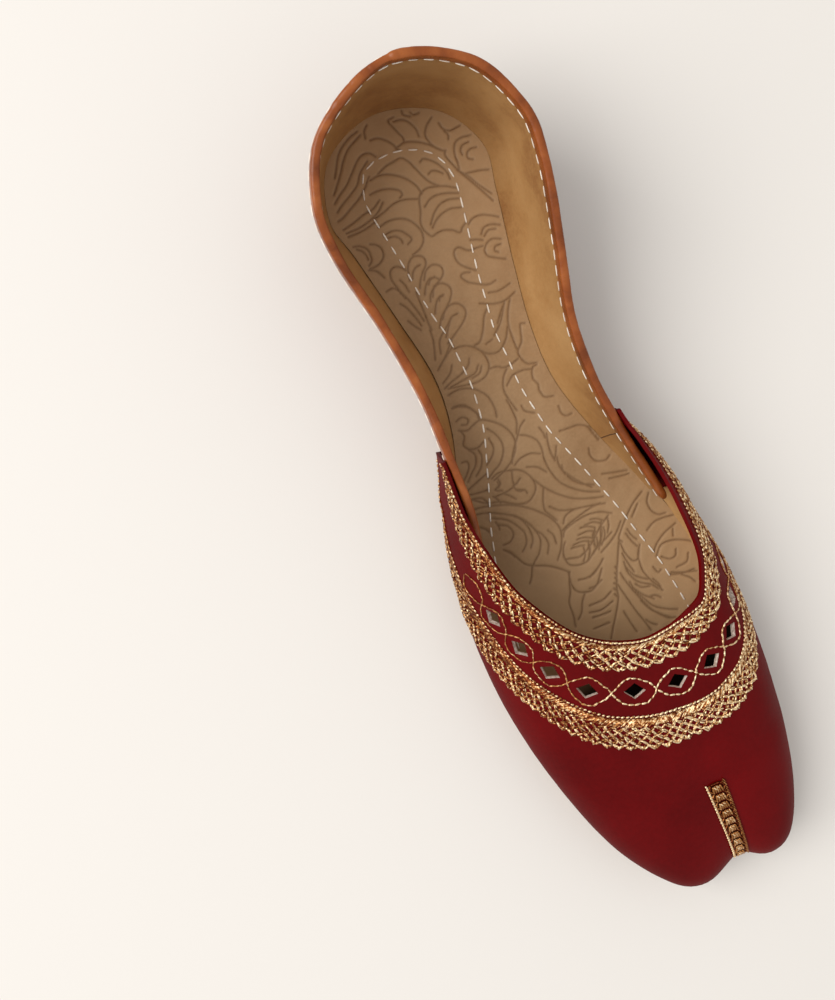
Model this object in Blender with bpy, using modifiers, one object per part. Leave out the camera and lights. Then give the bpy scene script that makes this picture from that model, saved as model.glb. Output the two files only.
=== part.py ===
# A right mojari shoe: a soft leather slipper with a two-lobed toe, standing empty on its flat sole.
# Units are metres. The toe points to -Y, the heel to +Y, the inner side of the foot to +X.

import math

import bmesh
import bpy
import numpy as np

# Sizes of the whole shoe
LENGTH = 0.257
BALL_WIDTH = 0.0785
COLLAR_HEIGHT = 0.056
THROAT_HEIGHT = 0.038

# Upper: thickness of the leather, and the line where the vamp is fullest
UPPER_WALL = 0.0018
BELLY_RISE = 0.0088
BELLY_OVERHANG = 0.0034

# Sole, heel and insole
SOLE_THICKNESS = 0.0042
SOLE_EXTENSION = 0.0012
HEEL_HEIGHT = 0.0050
HEEL_INSET = 0.0006
TOE_SPRING = 0.0036
INSOLE_THICKNESS = 0.0020

# Collar binding, embroidered bands, cut-outs and toe braid
BINDING_THICKNESS = 0.0009
BINDING_DEPTH = 0.0045
RELIEF = 0.0008
HOLE_LENGTH = 0.0064
HOLE_WIDTH = 0.0048
BRAID_WIDTH = 0.0066
BRAID_LENGTH = 0.0345
BRAID_END_RISE = 0.0115
BRAID_RELIEF = 0.0012

# Room between neighbouring pieces
CLEARANCE = 0.0003
CURVED_CLEARANCE = 0.0007

# Sampling of the curved walls
STEPS_PER_ROW = 3
VAMP_RINGS = 15
QUARTER_RINGS = 7
FALL_STEPS = 24
TUCK_STEPS = 8
BRAID_STEPS = 11
BINDING_ARC_STEPS = 6
SPRING_CUTS = 6
ARCH_CUTS = 8

# How far under the belly the vamp's foot turns in, and the half steps that directions are measured over
TUCK_TURN = math.radians(62)
ROW_STEP = 0.03
FEATHER_STEP = 0.02
SHARE_STEP = 0.02
LENGTH_STEP = 0.0004

# Form of the quarter's side: how high its lower and upper control points lie, and how they lean and swell
LOWER_RISE = 0.28
LOWER_LEAN = 0.55
UPPER_DROP = 0.35
UPPER_SWELL = 0.5

# Places along the sole where its underside changes, as shares of LENGTH from the middle
TOE_END = -0.50
BALL_FRONT = -0.29
BALL_BACK = -0.08
HEEL_BREAST = 0.20

# The feather line, where upper and sole meet, seen from above: (along, across).
# Along is a share of LENGTH towards the heel, across a share of BALL_WIDTH towards the inner side.
FEATHER = (
    (0.483, 0.032),    # back of the heel
    (0.457, 0.261),
    (0.401, 0.368),    # inner side of the heel
    (0.345, 0.339),
    (0.267, 0.283),
    (0.189, 0.237),    # inner waist
    (0.123, 0.234),
    (0.045, 0.299),
    (-0.043, 0.400),
    (-0.130, 0.459),   # inner ball
    (-0.224, 0.461),
    (-0.325, 0.431),
    (-0.410, 0.367),
    (-0.469, 0.274),
    (-0.484, 0.185),   # tip of the inner lobe
    (-0.467, 0.066),   # notch of the toe
    (-0.480, -0.108),  # tip of the outer lobe
    (-0.457, -0.217),
    (-0.395, -0.335),
    (-0.309, -0.411),
    (-0.208, -0.452),  # outer ball
    (-0.115, -0.443),
    (-0.029, -0.397),
    (0.049, -0.312),
    (0.123, -0.224),   # outer waist
    (0.189, -0.194),
    (0.267, -0.224),
    (0.345, -0.262),
    (0.399, -0.288),   # outer side of the heel
    (0.459, -0.191),
)

# The collar, from its outer front end round the heel to its inner front end:
# (along, across, height, swell). Height is a share of COLLAR_HEIGHT, swell a share of BELLY_OVERHANG.
# Row 8 is the back of the heel, and each row stands over one row of the feather line.
COLLAR = (
    (-0.029, -0.366, 0.430, 0.5),
    (0.037, -0.322, 0.527, 0.4),
    (0.115, -0.305, 0.607, 0.3),
    (0.181, -0.297, 0.636, 0.2),
    (0.263, -0.320, 0.709, 0.2),
    (0.345, -0.362, 0.814, 0.3),
    (0.405, -0.346, 0.889, 0.5),
    (0.465, -0.223, 0.946, 0.6),
    (0.498, 0.057, 1.000, 0.7),
    (0.465, 0.312, 0.986, 0.6),
    (0.401, 0.428, 0.946, 0.5),
    (0.343, 0.429, 0.900, 0.3),
    (0.265, 0.377, 0.809, 0.2),
    (0.189, 0.318, 0.714, 0.2),
    (0.123, 0.305, 0.648, 0.3),
    (0.053, 0.328, 0.571, 0.4),
    (-0.040, 0.385, 0.455, 0.4),
)
COLLAR_HEEL_ROW = 8

# The vamp, from the tip of its inner wing round the toe to the tip of its outer wing:
# (station, lap, belly, along, across, height, fullness, slope).
# Station is a row of FEATHER. Lap is how far the wing lies outside the quarter, as a share of UPPER_WALL,
# and belly how far it swells out, as a share of BELLY_OVERHANG. Along, across and height (a share of
# THROAT_HEIGHT) place the throat edge. Fullness is the power of the rounding from throat to belly, and
# slope the part of that fall that is straight.
VAMP = (
    (6.65, 0.4, 1.5, 0.072, 0.349, 0.868, 2.0, 0.9),
    (7.25, 0.4, 1.3, 0.022, 0.394, 0.895, 2.0, 0.9),
    (7.90, 0.3, 1.2, -0.033, 0.413, 0.900, 2.0, 0.8),
    (8.45, 0.2, 1.0, -0.078, 0.403, 0.913, 2.0, 0.7),
    (8.95, 0.0, 1.0, -0.113, 0.382, 0.926, 2.1, 0.6),
    (9.55, 0.0, 1.0, -0.136, 0.341, 0.942, 2.2, 0.5),
    (10.20, 0.0, 1.0, -0.153, 0.297, 0.951, 2.3, 0.4),
    (11.30, 0.0, 0.9, -0.161, 0.223, 0.974, 2.3, 0.3),
    (12.75, 0.0, 1.0, -0.166, 0.159, 0.987, 2.2, 0.3),
    (14.00, 0.0, 1.1, -0.167, 0.115, 0.995, 2.2, 0.3),
    (15.00, 0.0, 1.0, -0.167, 0.066, 1.000, 2.1, 0.3),
    (16.00, 0.0, 1.1, -0.164, 0.019, 1.000, 2.2, 0.3),
    (17.10, 0.0, 1.0, -0.158, -0.029, 1.000, 2.2, 0.3),
    (18.45, 0.0, 0.9, -0.149, -0.083, 1.000, 2.3, 0.3),
    (19.60, 0.0, 1.0, -0.135, -0.140, 1.000, 2.3, 0.4),
    (20.35, 0.0, 1.1, -0.117, -0.191, 0.992, 2.2, 0.4),
    (21.00, 0.0, 1.2, -0.090, -0.243, 0.970, 2.1, 0.5),
    (21.60, 0.2, 1.2, -0.052, -0.298, 0.932, 2.1, 0.6),
    (22.25, 0.3, 1.2, -0.006, -0.334, 0.903, 2.0, 0.7),
    (22.95, 0.4, 1.4, 0.041, -0.347, 0.882, 2.0, 0.8),
    (23.75, 0.4, 1.8, 0.105, -0.338, 0.855, 2.0, 0.9),
)
VAMP_TOE_ROW = 10

# The embroidered bands: (row of VAMP, start, end), start and end measured down the leather from the throat
INNER_BAND = (
    (0.0, 0.0016, 0.0082),
    (4.3, 0.0016, 0.0078),
    (5.4, 0.0020, 0.0081),
    (6.3, 0.0026, 0.0087),
    (7.0, 0.0019, 0.0089),
    (7.8, 0.0012, 0.0090),
    (9.6, 0.0010, 0.0081),    # front of the throat
    (11.3, 0.0010, 0.0084),
    (14.2, 0.0010, 0.0086),
    (16.2, 0.0010, 0.0087),
    (17.1, 0.0010, 0.0084),
    (20.0, 0.0010, 0.0082),
)
OUTER_BAND = (
    (0.0, 0.0192, 0.0270),
    (5.0, 0.0194, 0.0268),
    (5.6, 0.0203, 0.0274),
    (6.1, 0.0218, 0.0288),
    (6.5, 0.0236, 0.0312),
    (6.9, 0.0245, 0.0334),
    (8.0, 0.0249, 0.0340),    # inner side of the ball
    (9.0, 0.0245, 0.0338),
    (10.3, 0.0236, 0.0337),
    (12.2, 0.0231, 0.0332),
    (12.9, 0.0227, 0.0324),
    (13.5, 0.0217, 0.0312),
    (14.0, 0.0209, 0.0296),
    (14.6, 0.0201, 0.0284),
    (15.4, 0.0196, 0.0284),    # outer side of the ball
    (16.3, 0.0190, 0.0288),
    (17.0, 0.0185, 0.0285),
    (20.0, 0.0186, 0.0280),
)

# The diamond holes between the bands: (row of VAMP, distance from the throat edge)
HOLES = (
    (3.60, 0.0154),
    (4.47, 0.0156),
    (5.43, 0.0158),
    (6.40, 0.0166),
    (7.53, 0.0170),
    (9.51, 0.0158),
    (11.90, 0.0151),    # front of the throat
    (13.51, 0.0158),
    (14.60, 0.0146),
    (15.60, 0.0144),
    (16.54, 0.0141),
)


def clear_scene():
    for item in list(bpy.data.objects):
        bpy.data.objects.remove(item, do_unlink=True)


def new_collection(name):
    collection = bpy.data.collections.new(name)
    bpy.context.scene.collection.children.link(collection)
    return collection


def new_material(name, colour, roughness, metallic=0.0):
    material = bpy.data.materials.new(name)
    material.use_nodes = True
    shader = material.node_tree.nodes["Principled BSDF"]
    shader.inputs["Base Color"].default_value = (*colour, 1.0)
    shader.inputs["Roughness"].default_value = roughness
    shader.inputs["Metallic"].default_value = metallic
    return material


def new_object(name, mesh, collection, material=None):
    item = bpy.data.objects.new(name, mesh)
    collection.objects.link(item)
    if material:
        mesh.materials.append(material)
    return item


def finish_surface(item):
    item.data.shade_smooth()
    item.data.set_sharp_from_angle(angle=math.radians(40))


def between_rows(rows, position, closed=False):
    # A smooth curve through the rows, column by column; position counts rows from the first.
    count = len(rows)
    start = math.floor(position)
    if not closed:
        start = min(max(start, 0), count - 2)
    share = position - start

    def row(index):
        if closed:
            return np.array(rows[index % count])
        if index < 0:
            return 2 * np.array(rows[0]) - np.array(rows[1])
        if index >= count:
            return 2 * np.array(rows[-1]) - np.array(rows[-2])
        return np.array(rows[index])

    before, first, second, after = (row(start + k) for k in (-1, 0, 1, 2))
    bend = 2 * before - 5 * first + 4 * second - after
    twist = 3 * (first - second) + after - before
    return first + 0.5 * share * ((second - before) + share * (bend + share * twist))


def smooth_step(value):
    value = min(max(value, 0.0), 1.0)
    return value * value * (3 - 2 * value)


def sole_rise(y):
    # Height of the outsole's underside: flat under the ball, up the arch to the heel, sprung at the toe.
    along = y / LENGTH
    if along < BALL_FRONT:
        return TOE_SPRING * ((BALL_FRONT - along) / (BALL_FRONT - TOE_END)) ** 2
    return HEEL_HEIGHT * smooth_step((along - BALL_BACK) / (HEEL_BREAST - BALL_BACK))


def sole_top(y):
    return sole_rise(y) + SOLE_THICKNESS


def feather(station, outward=0.0):
    # A point of the feather line seen from above, moved outward by the given distance.
    along, across = between_rows(FEATHER, station, closed=True)
    ahead = between_rows(FEATHER, station + FEATHER_STEP, closed=True)
    behind = between_rows(FEATHER, station - FEATHER_STEP, closed=True)
    step_y, step_x = (ahead - behind) * (LENGTH, BALL_WIDTH)
    size = math.hypot(step_x, step_y)
    normal = np.array((-step_y, step_x)) / size
    return np.array((across * BALL_WIDTH, along * LENGTH)) + normal * outward, normal


def quarter_point(row, share, outward=0.0):
    # The quarter's outer face: share 0 is the feather line and 1 the top edge under the binding.
    along, across, height, swell = between_rows(COLLAR, row)
    base, normal = feather(row - COLLAR_HEEL_ROW)
    cover = CLEARANCE + BINDING_THICKNESS
    top = np.array((across * BALL_WIDTH, along * LENGTH)) - normal * cover
    foot_z = sole_top(base[1]) + CLEARANCE
    top_z = height * COLLAR_HEIGHT - cover
    rise = top_z - foot_z
    lean = (top - base) @ normal
    swell_out = swell * BELLY_OVERHANG
    handles = (
        np.array((*base, foot_z)),
        np.array((*(base + normal * (LOWER_LEAN * lean + swell_out)), foot_z + LOWER_RISE * rise)),
        np.array((*(top + normal * (UPPER_SWELL * swell_out)), top_z - UPPER_DROP * rise)),
        np.array((*top, top_z)),
    )
    weights = ((1 - share) ** 3, 3 * share * (1 - share) ** 2, 3 * share ** 2 * (1 - share), share ** 3)
    return sum(weight * handle for weight, handle in zip(weights, handles))


def vamp_section(row):
    # The vamp's outer face from the throat edge down to the feather line, as a fine chain of points.
    station, lap, belly, along, across, height, fullness, slope = between_rows(VAMP, row)
    foot, normal = feather(station, lap * UPPER_WALL)
    widest = foot + normal * (belly * BELLY_OVERHANG)
    throat = np.array((across * BALL_WIDTH, along * LENGTH))
    throat_z = height * THROAT_HEIGHT
    foot_z = sole_top(foot[1]) + CLEARANCE
    widest_z = foot_z + BELLY_RISE
    points = []
    for angle in np.linspace(0, math.pi / 2, FALL_STEPS + 1):
        out = math.sin(angle) ** (2 / fullness)
        fall = max(math.cos(angle), 0.0) ** (2 / fullness)
        level = slope * (1 - out) + (1 - slope) * fall
        points.append((*(throat + (widest - throat) * out), widest_z + (throat_z - widest_z) * level))
    for angle in np.linspace(0, TUCK_TURN, TUCK_STEPS + 1)[1:]:
        inward = (1 - math.cos(angle)) / (1 - math.cos(TUCK_TURN))
        drop = math.sin(angle) / math.sin(TUCK_TURN)
        points.append((*(widest + (foot - widest) * inward), widest_z + (foot_z - widest_z) * drop))
    return np.array(points)


def chain_lengths(points):
    steps = np.linalg.norm(np.diff(points, axis=0), axis=1)
    return np.concatenate(([0.0], np.cumsum(steps)))


def vamp_length(row):
    return chain_lengths(vamp_section(row))[-1]


def vamp_point(row, distance):
    # The vamp's outer face at a distance from the throat edge, measured down the leather.
    points = vamp_section(row)
    lengths = chain_lengths(points)
    return np.array([np.interp(distance, lengths, points[:, axis]) for axis in range(3)])


def vamp_normal(row, distance):
    down = vamp_point(row, distance + LENGTH_STEP) - vamp_point(row, max(distance - LENGTH_STEP, 0.0))
    side = vamp_point(row + ROW_STEP, distance) - vamp_point(row - ROW_STEP, distance)
    normal = np.cross(side, down)
    return normal / np.linalg.norm(normal)


def quarter_normal(row, share):
    up = quarter_point(row, min(share + SHARE_STEP, 1.0)) - quarter_point(row, max(share - SHARE_STEP, 0.0))
    side = quarter_point(row + ROW_STEP, share) - quarter_point(row - ROW_STEP, share)
    normal = np.cross(up, side)
    return normal / np.linalg.norm(normal)


def grid_mesh(name, rows):
    # An open sheet from rows of points, its front side where the rows turn clockwise round the columns.
    width = len(rows[0])
    vertices = [tuple(point) for row in rows for point in row]
    faces = []
    for i in range(len(rows) - 1):
        for j in range(width - 1):
            corner = i * width + j
            faces.append((corner, corner + width, corner + width + 1, corner + 1))
    mesh = bpy.data.meshes.new(name)
    mesh.from_pydata(vertices, [], faces)
    return mesh


def tube_mesh(name, rings):
    # A closed solid from rings of points, all rings alike, with a flat end at each side.
    size = len(rings[0])
    vertices = [tuple(point) for ring in rings for point in ring]
    faces = []
    for i in range(len(rings) - 1):
        for j in range(size):
            k = (j + 1) % size
            faces.append((i * size + j, i * size + k, (i + 1) * size + k, (i + 1) * size + j))
    faces.append(tuple(reversed(range(size))))
    faces.append(tuple(range((len(rings) - 1) * size, len(rings) * size)))
    mesh = bpy.data.meshes.new(name)
    mesh.from_pydata(vertices, [], faces)
    shape = bmesh.new()
    shape.from_mesh(mesh)
    bmesh.ops.recalc_face_normals(shape, faces=shape.faces)
    shape.to_mesh(mesh)
    shape.free()
    return mesh


def row_steps(first, last):
    count = max(2, round((last - first) * STEPS_PER_ROW))
    return np.linspace(first, last, count + 1)


def add_wall(item):
    wall = item.modifiers.new("Wall", "SOLIDIFY")
    wall.thickness = UPPER_WALL
    wall.offset = -1
    wall.use_even_offset = True


def vamp_mesh():
    rows = []
    for row in row_steps(0, len(VAMP) - 1):
        full = vamp_length(row)
        rows.append([vamp_point(row, full * k / VAMP_RINGS) for k in range(VAMP_RINGS + 1)])
    return grid_mesh("upper", rows)


def quarter_mesh():
    rows = []
    for row in row_steps(0, len(COLLAR) - 1):
        rows.append([quarter_point(row, 1 - k / QUARTER_RINGS) for k in range(QUARTER_RINGS + 1)])
    return grid_mesh("quarter_wall", rows)


def hole_cutters(collection):
    # One mesh of four-sided prisms, one through each diamond hole between the bands.
    shape = bmesh.new()
    for row, distance in HOLES:
        centre = vamp_point(row, distance)
        normal = vamp_normal(row, distance)
        side = vamp_point(row + ROW_STEP, distance) - centre
        side = side / np.linalg.norm(side)
        across = np.cross(normal, side)
        made = bmesh.ops.create_cone(
            shape, cap_ends=True, segments=4, radius1=0.5, radius2=0.5, depth=1.0
        )
        for vertex in made["verts"]:
            local = np.array(vertex.co)
            vertex.co = (
                centre
                + side * local[0] * HOLE_LENGTH
                + across * local[1] * HOLE_WIDTH
                + normal * local[2] * 4 * UPPER_WALL
            )
    bmesh.ops.recalc_face_normals(shape, faces=shape.faces)
    mesh = bpy.data.meshes.new("hole_cutters")
    shape.to_mesh(mesh)
    shape.free()
    return new_object("hole_cutters", mesh, collection)


def make_upper(collection, cutters, material):
    # Vamp and quarter are one hollow wall: the vamp's wings lie outside the quarter and make a step in it.
    upper = new_object("upper", vamp_mesh(), collection, material)
    add_wall(upper)
    quarter = new_object("quarter_wall", quarter_mesh(), cutters)
    add_wall(quarter)
    join = upper.modifiers.new("Quarter", "BOOLEAN")
    join.operation = "UNION"
    join.object = quarter
    holes = upper.modifiers.new("Diamonds", "BOOLEAN")
    holes.operation = "DIFFERENCE"
    holes.object = hole_cutters(cutters)
    upper.data.shade_smooth()
    return upper


def make_band(name, table, collection, material):
    # An embroidered band along the throat edge, cut between two forms that follow the vamp's own face.
    rings = []
    table_rows, starts, ends = np.array(table).T
    for row in row_steps(0, len(VAMP) - 1):
        start = np.interp(row, table_rows, starts)
        end = np.interp(row, table_rows, ends)
        if vamp_length(row) < end + BELLY_OVERHANG:
            continue
        low = []
        high = []
        for distance in np.linspace(start, end, 4):
            point = vamp_point(row, distance)
            normal = vamp_normal(row, distance)
            low.append(point + normal * CLEARANCE)
            high.append(point + normal * (CLEARANCE + RELIEF))
        rings.append(low + high[::-1])
    band = new_object(name, tube_mesh(name, rings), collection, material)
    finish_surface(band)
    return band


def make_braid(collection, material):
    # The short braid down the middle of the toe, over the notch between the lobes.
    full = vamp_length(VAMP_TOE_ROW)
    end = full - BRAID_END_RISE
    rings = []
    for distance in np.linspace(end - BRAID_LENGTH, end, BRAID_STEPS + 1):
        centre = vamp_point(VAMP_TOE_ROW, distance)
        low = []
        high = []
        for shift in (-0.5, -0.25, 0.0, 0.25, 0.5):
            row = row_at_across(centre[0] + shift * BRAID_WIDTH, distance)
            point = vamp_point(row, distance)
            normal = vamp_normal(row, distance)
            low.append(point + normal * CURVED_CLEARANCE)
            high.append(point + normal * (CURVED_CLEARANCE + BRAID_RELIEF))
        rings.append(low + high[::-1])
    braid = new_object("toe_braid", tube_mesh("toe_braid", rings), collection, material)
    finish_surface(braid)
    return braid


def row_at_across(x, distance):
    low, high = VAMP_TOE_ROW - 1.0, VAMP_TOE_ROW + 1.0
    for _ in range(30):
        middle = (low + high) / 2
        if vamp_point(middle, distance)[0] > x:
            low = middle
        else:
            high = middle
    return middle


def make_binding(collection, material):
    # A leather strip folded over the top edge of the quarter, a U in section.
    rings = []
    for row in row_steps(0, len(COLLAR) - 1):
        top = quarter_point(row, 1.0)
        below = quarter_point(row, 0.9)
        down = (below - top) / np.linalg.norm(below - top)
        out = quarter_normal(row, 0.95)
        near = CLEARANCE
        far = CLEARANCE + BINDING_THICKNESS
        low = top + down * BINDING_DEPTH
        arc = []
        middle = top - out * (UPPER_WALL / 2)
        radius = UPPER_WALL / 2 + far
        for angle in np.linspace(0, math.pi, BINDING_ARC_STEPS + 1):
            arc.append(middle + out * radius * math.cos(angle) - down * far * math.sin(angle))
        rings.append(
            [low + out * far]
            + arc
            + [low - out * (UPPER_WALL + far), low - out * (UPPER_WALL + near)]
            + [top - out * (UPPER_WALL + near) - down * near, top + out * near - down * near]
            + [low + out * near]
        )
    binding = new_object("collar_binding", tube_mesh("collar_binding", rings), collection, material)
    finish_surface(binding)
    return binding


def outline(outward, first=0.0, last=float(len(FEATHER)), step=0.5):
    count = round((last - first) / step)
    closed = last - first >= len(FEATHER)
    stations = np.linspace(first, last, count + 1)
    if closed:
        stations = stations[:-1]
    return [feather(station, outward)[0] for station in stations]


def station_at(y, low, high):
    # The row of the feather line between low and high that lies at y; y falls from low to high.
    falls = feather(low)[0][1] > feather(high)[0][1]
    for _ in range(40):
        middle = (low + high) / 2
        if (feather(middle)[0][1] > y) == falls:
            low = middle
        else:
            high = middle
    return middle


def flat_plate(name, points, thickness):
    # A flat outline as a filled curve, given its thickness and made a mesh with its base at zero.
    curve = bpy.data.curves.new(name, "CURVE")
    curve.dimensions = "2D"
    curve.fill_mode = "BOTH"
    curve.extrude = thickness / 2
    spline = curve.splines.new("POLY")
    spline.points.add(len(points) - 1)
    for target, point in zip(spline.points, points):
        target.co = (point[0], point[1], 0.0, 1.0)
    spline.use_cyclic_u = True
    holder = bpy.data.objects.new(name + "_curve", curve)
    bpy.context.scene.collection.objects.link(holder)
    bpy.context.view_layer.update()
    evaluated = holder.evaluated_get(bpy.context.evaluated_depsgraph_get())
    mesh = bpy.data.meshes.new_from_object(evaluated)
    mesh.name = name
    bpy.data.objects.remove(holder, do_unlink=True)
    shape = bmesh.new()
    shape.from_mesh(mesh)
    bmesh.ops.remove_doubles(shape, verts=shape.verts, dist=0.00001)
    bmesh.ops.dissolve_limit(shape, angle_limit=math.radians(1), verts=shape.verts, edges=shape.edges)
    bmesh.ops.translate(shape, verts=shape.verts, vec=(0, 0, thickness / 2))
    bmesh.ops.recalc_face_normals(shape, faces=shape.faces)
    shape.to_mesh(mesh)
    shape.free()
    return mesh


def bend_to_sole(mesh, lift):
    # Cuts a flat plate across at even steps and lifts it to follow the underside of the sole.
    shape = bmesh.new()
    shape.from_mesh(mesh)
    cuts = [BALL_FRONT + (TOE_END - BALL_FRONT) * k / SPRING_CUTS for k in range(SPRING_CUTS)]
    cuts += [BALL_BACK + (HEEL_BREAST - BALL_BACK) * k / ARCH_CUTS for k in range(ARCH_CUTS + 1)]
    for along in cuts:
        bmesh.ops.bisect_plane(
            shape,
            geom=shape.verts[:] + shape.edges[:] + shape.faces[:],
            dist=0.000001,
            plane_co=(0, along * LENGTH, 0),
            plane_no=(0, 1, 0),
        )
    for vertex in shape.verts:
        vertex.co.z += sole_rise(vertex.co.y) + lift
    bmesh.ops.triangulate(shape, faces=shape.faces)
    shape.to_mesh(mesh)
    shape.free()


def make_outsole(collection, material):
    mesh = flat_plate("outsole", outline(SOLE_EXTENSION), SOLE_THICKNESS)
    bend_to_sole(mesh, 0.0)
    outsole = new_object("outsole", mesh, collection, material)
    finish_surface(outsole)
    return outsole


def make_insole(collection, material):
    inset = UPPER_WALL + CURVED_CLEARANCE
    mesh = flat_plate("insole", outline(-inset), INSOLE_THICKNESS)
    bend_to_sole(mesh, SOLE_THICKNESS + CLEARANCE)
    insole = new_object("insole", mesh, collection, material)
    finish_surface(insole)
    return insole


def make_heel(collection, material):
    # The low heel lift under the back of the outsole, with a straight breast.
    breast = HEEL_BREAST * LENGTH
    inner = station_at(breast, 3.0, 7.0)
    outer = station_at(breast, 23.0, 27.0) - len(FEATHER)
    points = outline(SOLE_EXTENSION - HEEL_INSET, outer, inner)
    heel = new_object("heel_lift", flat_plate("heel_lift", points, HEEL_HEIGHT - CLEARANCE), collection, material)
    finish_surface(heel)
    return heel


def main():
    clear_scene()
    shoe = new_collection("mojari_shoe")
    cutters = new_collection("cutters")
    maroon = new_material("maroon_leather", (0.16, 0.006, 0.012), 0.32)
    tan = new_material("tan_leather", (0.42, 0.12, 0.03), 0.35)
    gold = new_material("gold_thread", (0.66, 0.40, 0.13), 0.38, 0.8)
    braid_gold = new_material("gold_braid", (0.70, 0.44, 0.15), 0.36, 0.8)
    band_gold = new_material("gold_thread_outer", (0.66, 0.40, 0.13), 0.38, 0.8)
    taupe = new_material("taupe_leather", (0.30, 0.18, 0.09), 0.55)
    sole_leather = new_material("sole_leather", (0.36, 0.20, 0.09), 0.6)
    heel_leather = new_material("heel_leather", (0.24, 0.12, 0.05), 0.6)

    make_outsole(shoe, sole_leather)
    make_heel(shoe, heel_leather)
    make_insole(shoe, taupe)
    make_upper(shoe, cutters, maroon)
    make_binding(shoe, tan)
    make_band("embroidery_inner", INNER_BAND, shoe, gold)
    make_band("embroidery_outer", OUTER_BAND, shoe, band_gold)
    make_braid(shoe, braid_gold)
    for item in cutters.objects:
        item.hide_render = True
        item.display_type = "WIRE"


main()
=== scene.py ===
import math

import bpy
import numpy as np
from mathutils import Matrix, Vector


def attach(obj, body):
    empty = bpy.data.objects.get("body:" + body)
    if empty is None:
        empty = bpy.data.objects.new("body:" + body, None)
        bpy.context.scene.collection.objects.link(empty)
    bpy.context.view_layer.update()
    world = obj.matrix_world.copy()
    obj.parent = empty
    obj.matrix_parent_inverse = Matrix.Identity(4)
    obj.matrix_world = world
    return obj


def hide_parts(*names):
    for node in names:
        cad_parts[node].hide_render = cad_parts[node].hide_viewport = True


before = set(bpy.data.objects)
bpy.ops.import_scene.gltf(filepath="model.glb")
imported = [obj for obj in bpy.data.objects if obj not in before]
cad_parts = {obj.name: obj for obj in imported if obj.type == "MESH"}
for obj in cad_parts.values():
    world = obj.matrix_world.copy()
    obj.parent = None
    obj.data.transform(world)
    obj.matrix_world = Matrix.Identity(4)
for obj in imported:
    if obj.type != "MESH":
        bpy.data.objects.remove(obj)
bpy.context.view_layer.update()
print("frame loaded:", ", ".join(sorted(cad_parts)))

# The shoe's own sizes, the same as in the part's source
shoe = {
    "length": 0.257,
    "ballWidth": 0.0785,
    "collarHeight": 0.056,
    "throatHeight": 0.038,
    "wall": 0.0018,
    "bellyRise": 0.0088,
    "bellyOverhang": 0.0034,
    "soleThickness": 0.0042,
    "soleExtension": 0.0012,
    "heelHeight": 0.0050,
    "heelInset": 0.0006,
    "toeSpring": 0.0036,
    "insoleThickness": 0.0020,
    "clearance": 0.0003,
    "bindingCover": 0.00060,
    "toeEnd": -0.50,
    "ballFront": -0.29,
    "ballBack": -0.08,
    "heelBreast": 0.20,
}

# Where upper and sole meet: (along towards the heel, across towards the inner side)
featherRows = (
    (0.483, 0.032), (0.457, 0.261), (0.401, 0.368), (0.345, 0.339), (0.267, 0.283),
    (0.189, 0.237), (0.123, 0.234), (0.045, 0.299), (-0.043, 0.400), (-0.130, 0.459),
    (-0.224, 0.461), (-0.325, 0.431), (-0.410, 0.367), (-0.469, 0.274), (-0.484, 0.185),
    (-0.467, 0.066), (-0.480, -0.108), (-0.457, -0.217), (-0.395, -0.335), (-0.309, -0.411),
    (-0.208, -0.452), (-0.115, -0.443), (-0.029, -0.397), (0.049, -0.312), (0.123, -0.224),
    (0.189, -0.194), (0.267, -0.224), (0.345, -0.262), (0.399, -0.288), (0.459, -0.191),
)

# The collar from its outer front end to its inner front end: (along, across, height, swell)
collarRows = (
    (-0.029, -0.366, 0.430, 0.5), (0.037, -0.322, 0.527, 0.4), (0.115, -0.305, 0.607, 0.3),
    (0.181, -0.297, 0.636, 0.2), (0.263, -0.320, 0.709, 0.2), (0.345, -0.362, 0.814, 0.3),
    (0.405, -0.346, 0.889, 0.5), (0.465, -0.223, 0.946, 0.6), (0.498, 0.057, 1.000, 0.7),
    (0.465, 0.312, 0.986, 0.6), (0.401, 0.428, 0.946, 0.5), (0.343, 0.429, 0.900, 0.3),
    (0.265, 0.377, 0.809, 0.2), (0.189, 0.318, 0.714, 0.2), (0.123, 0.305, 0.648, 0.3),
    (0.053, 0.328, 0.571, 0.4), (-0.040, 0.385, 0.455, 0.4),
)
collarHeelRow = 8

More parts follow.
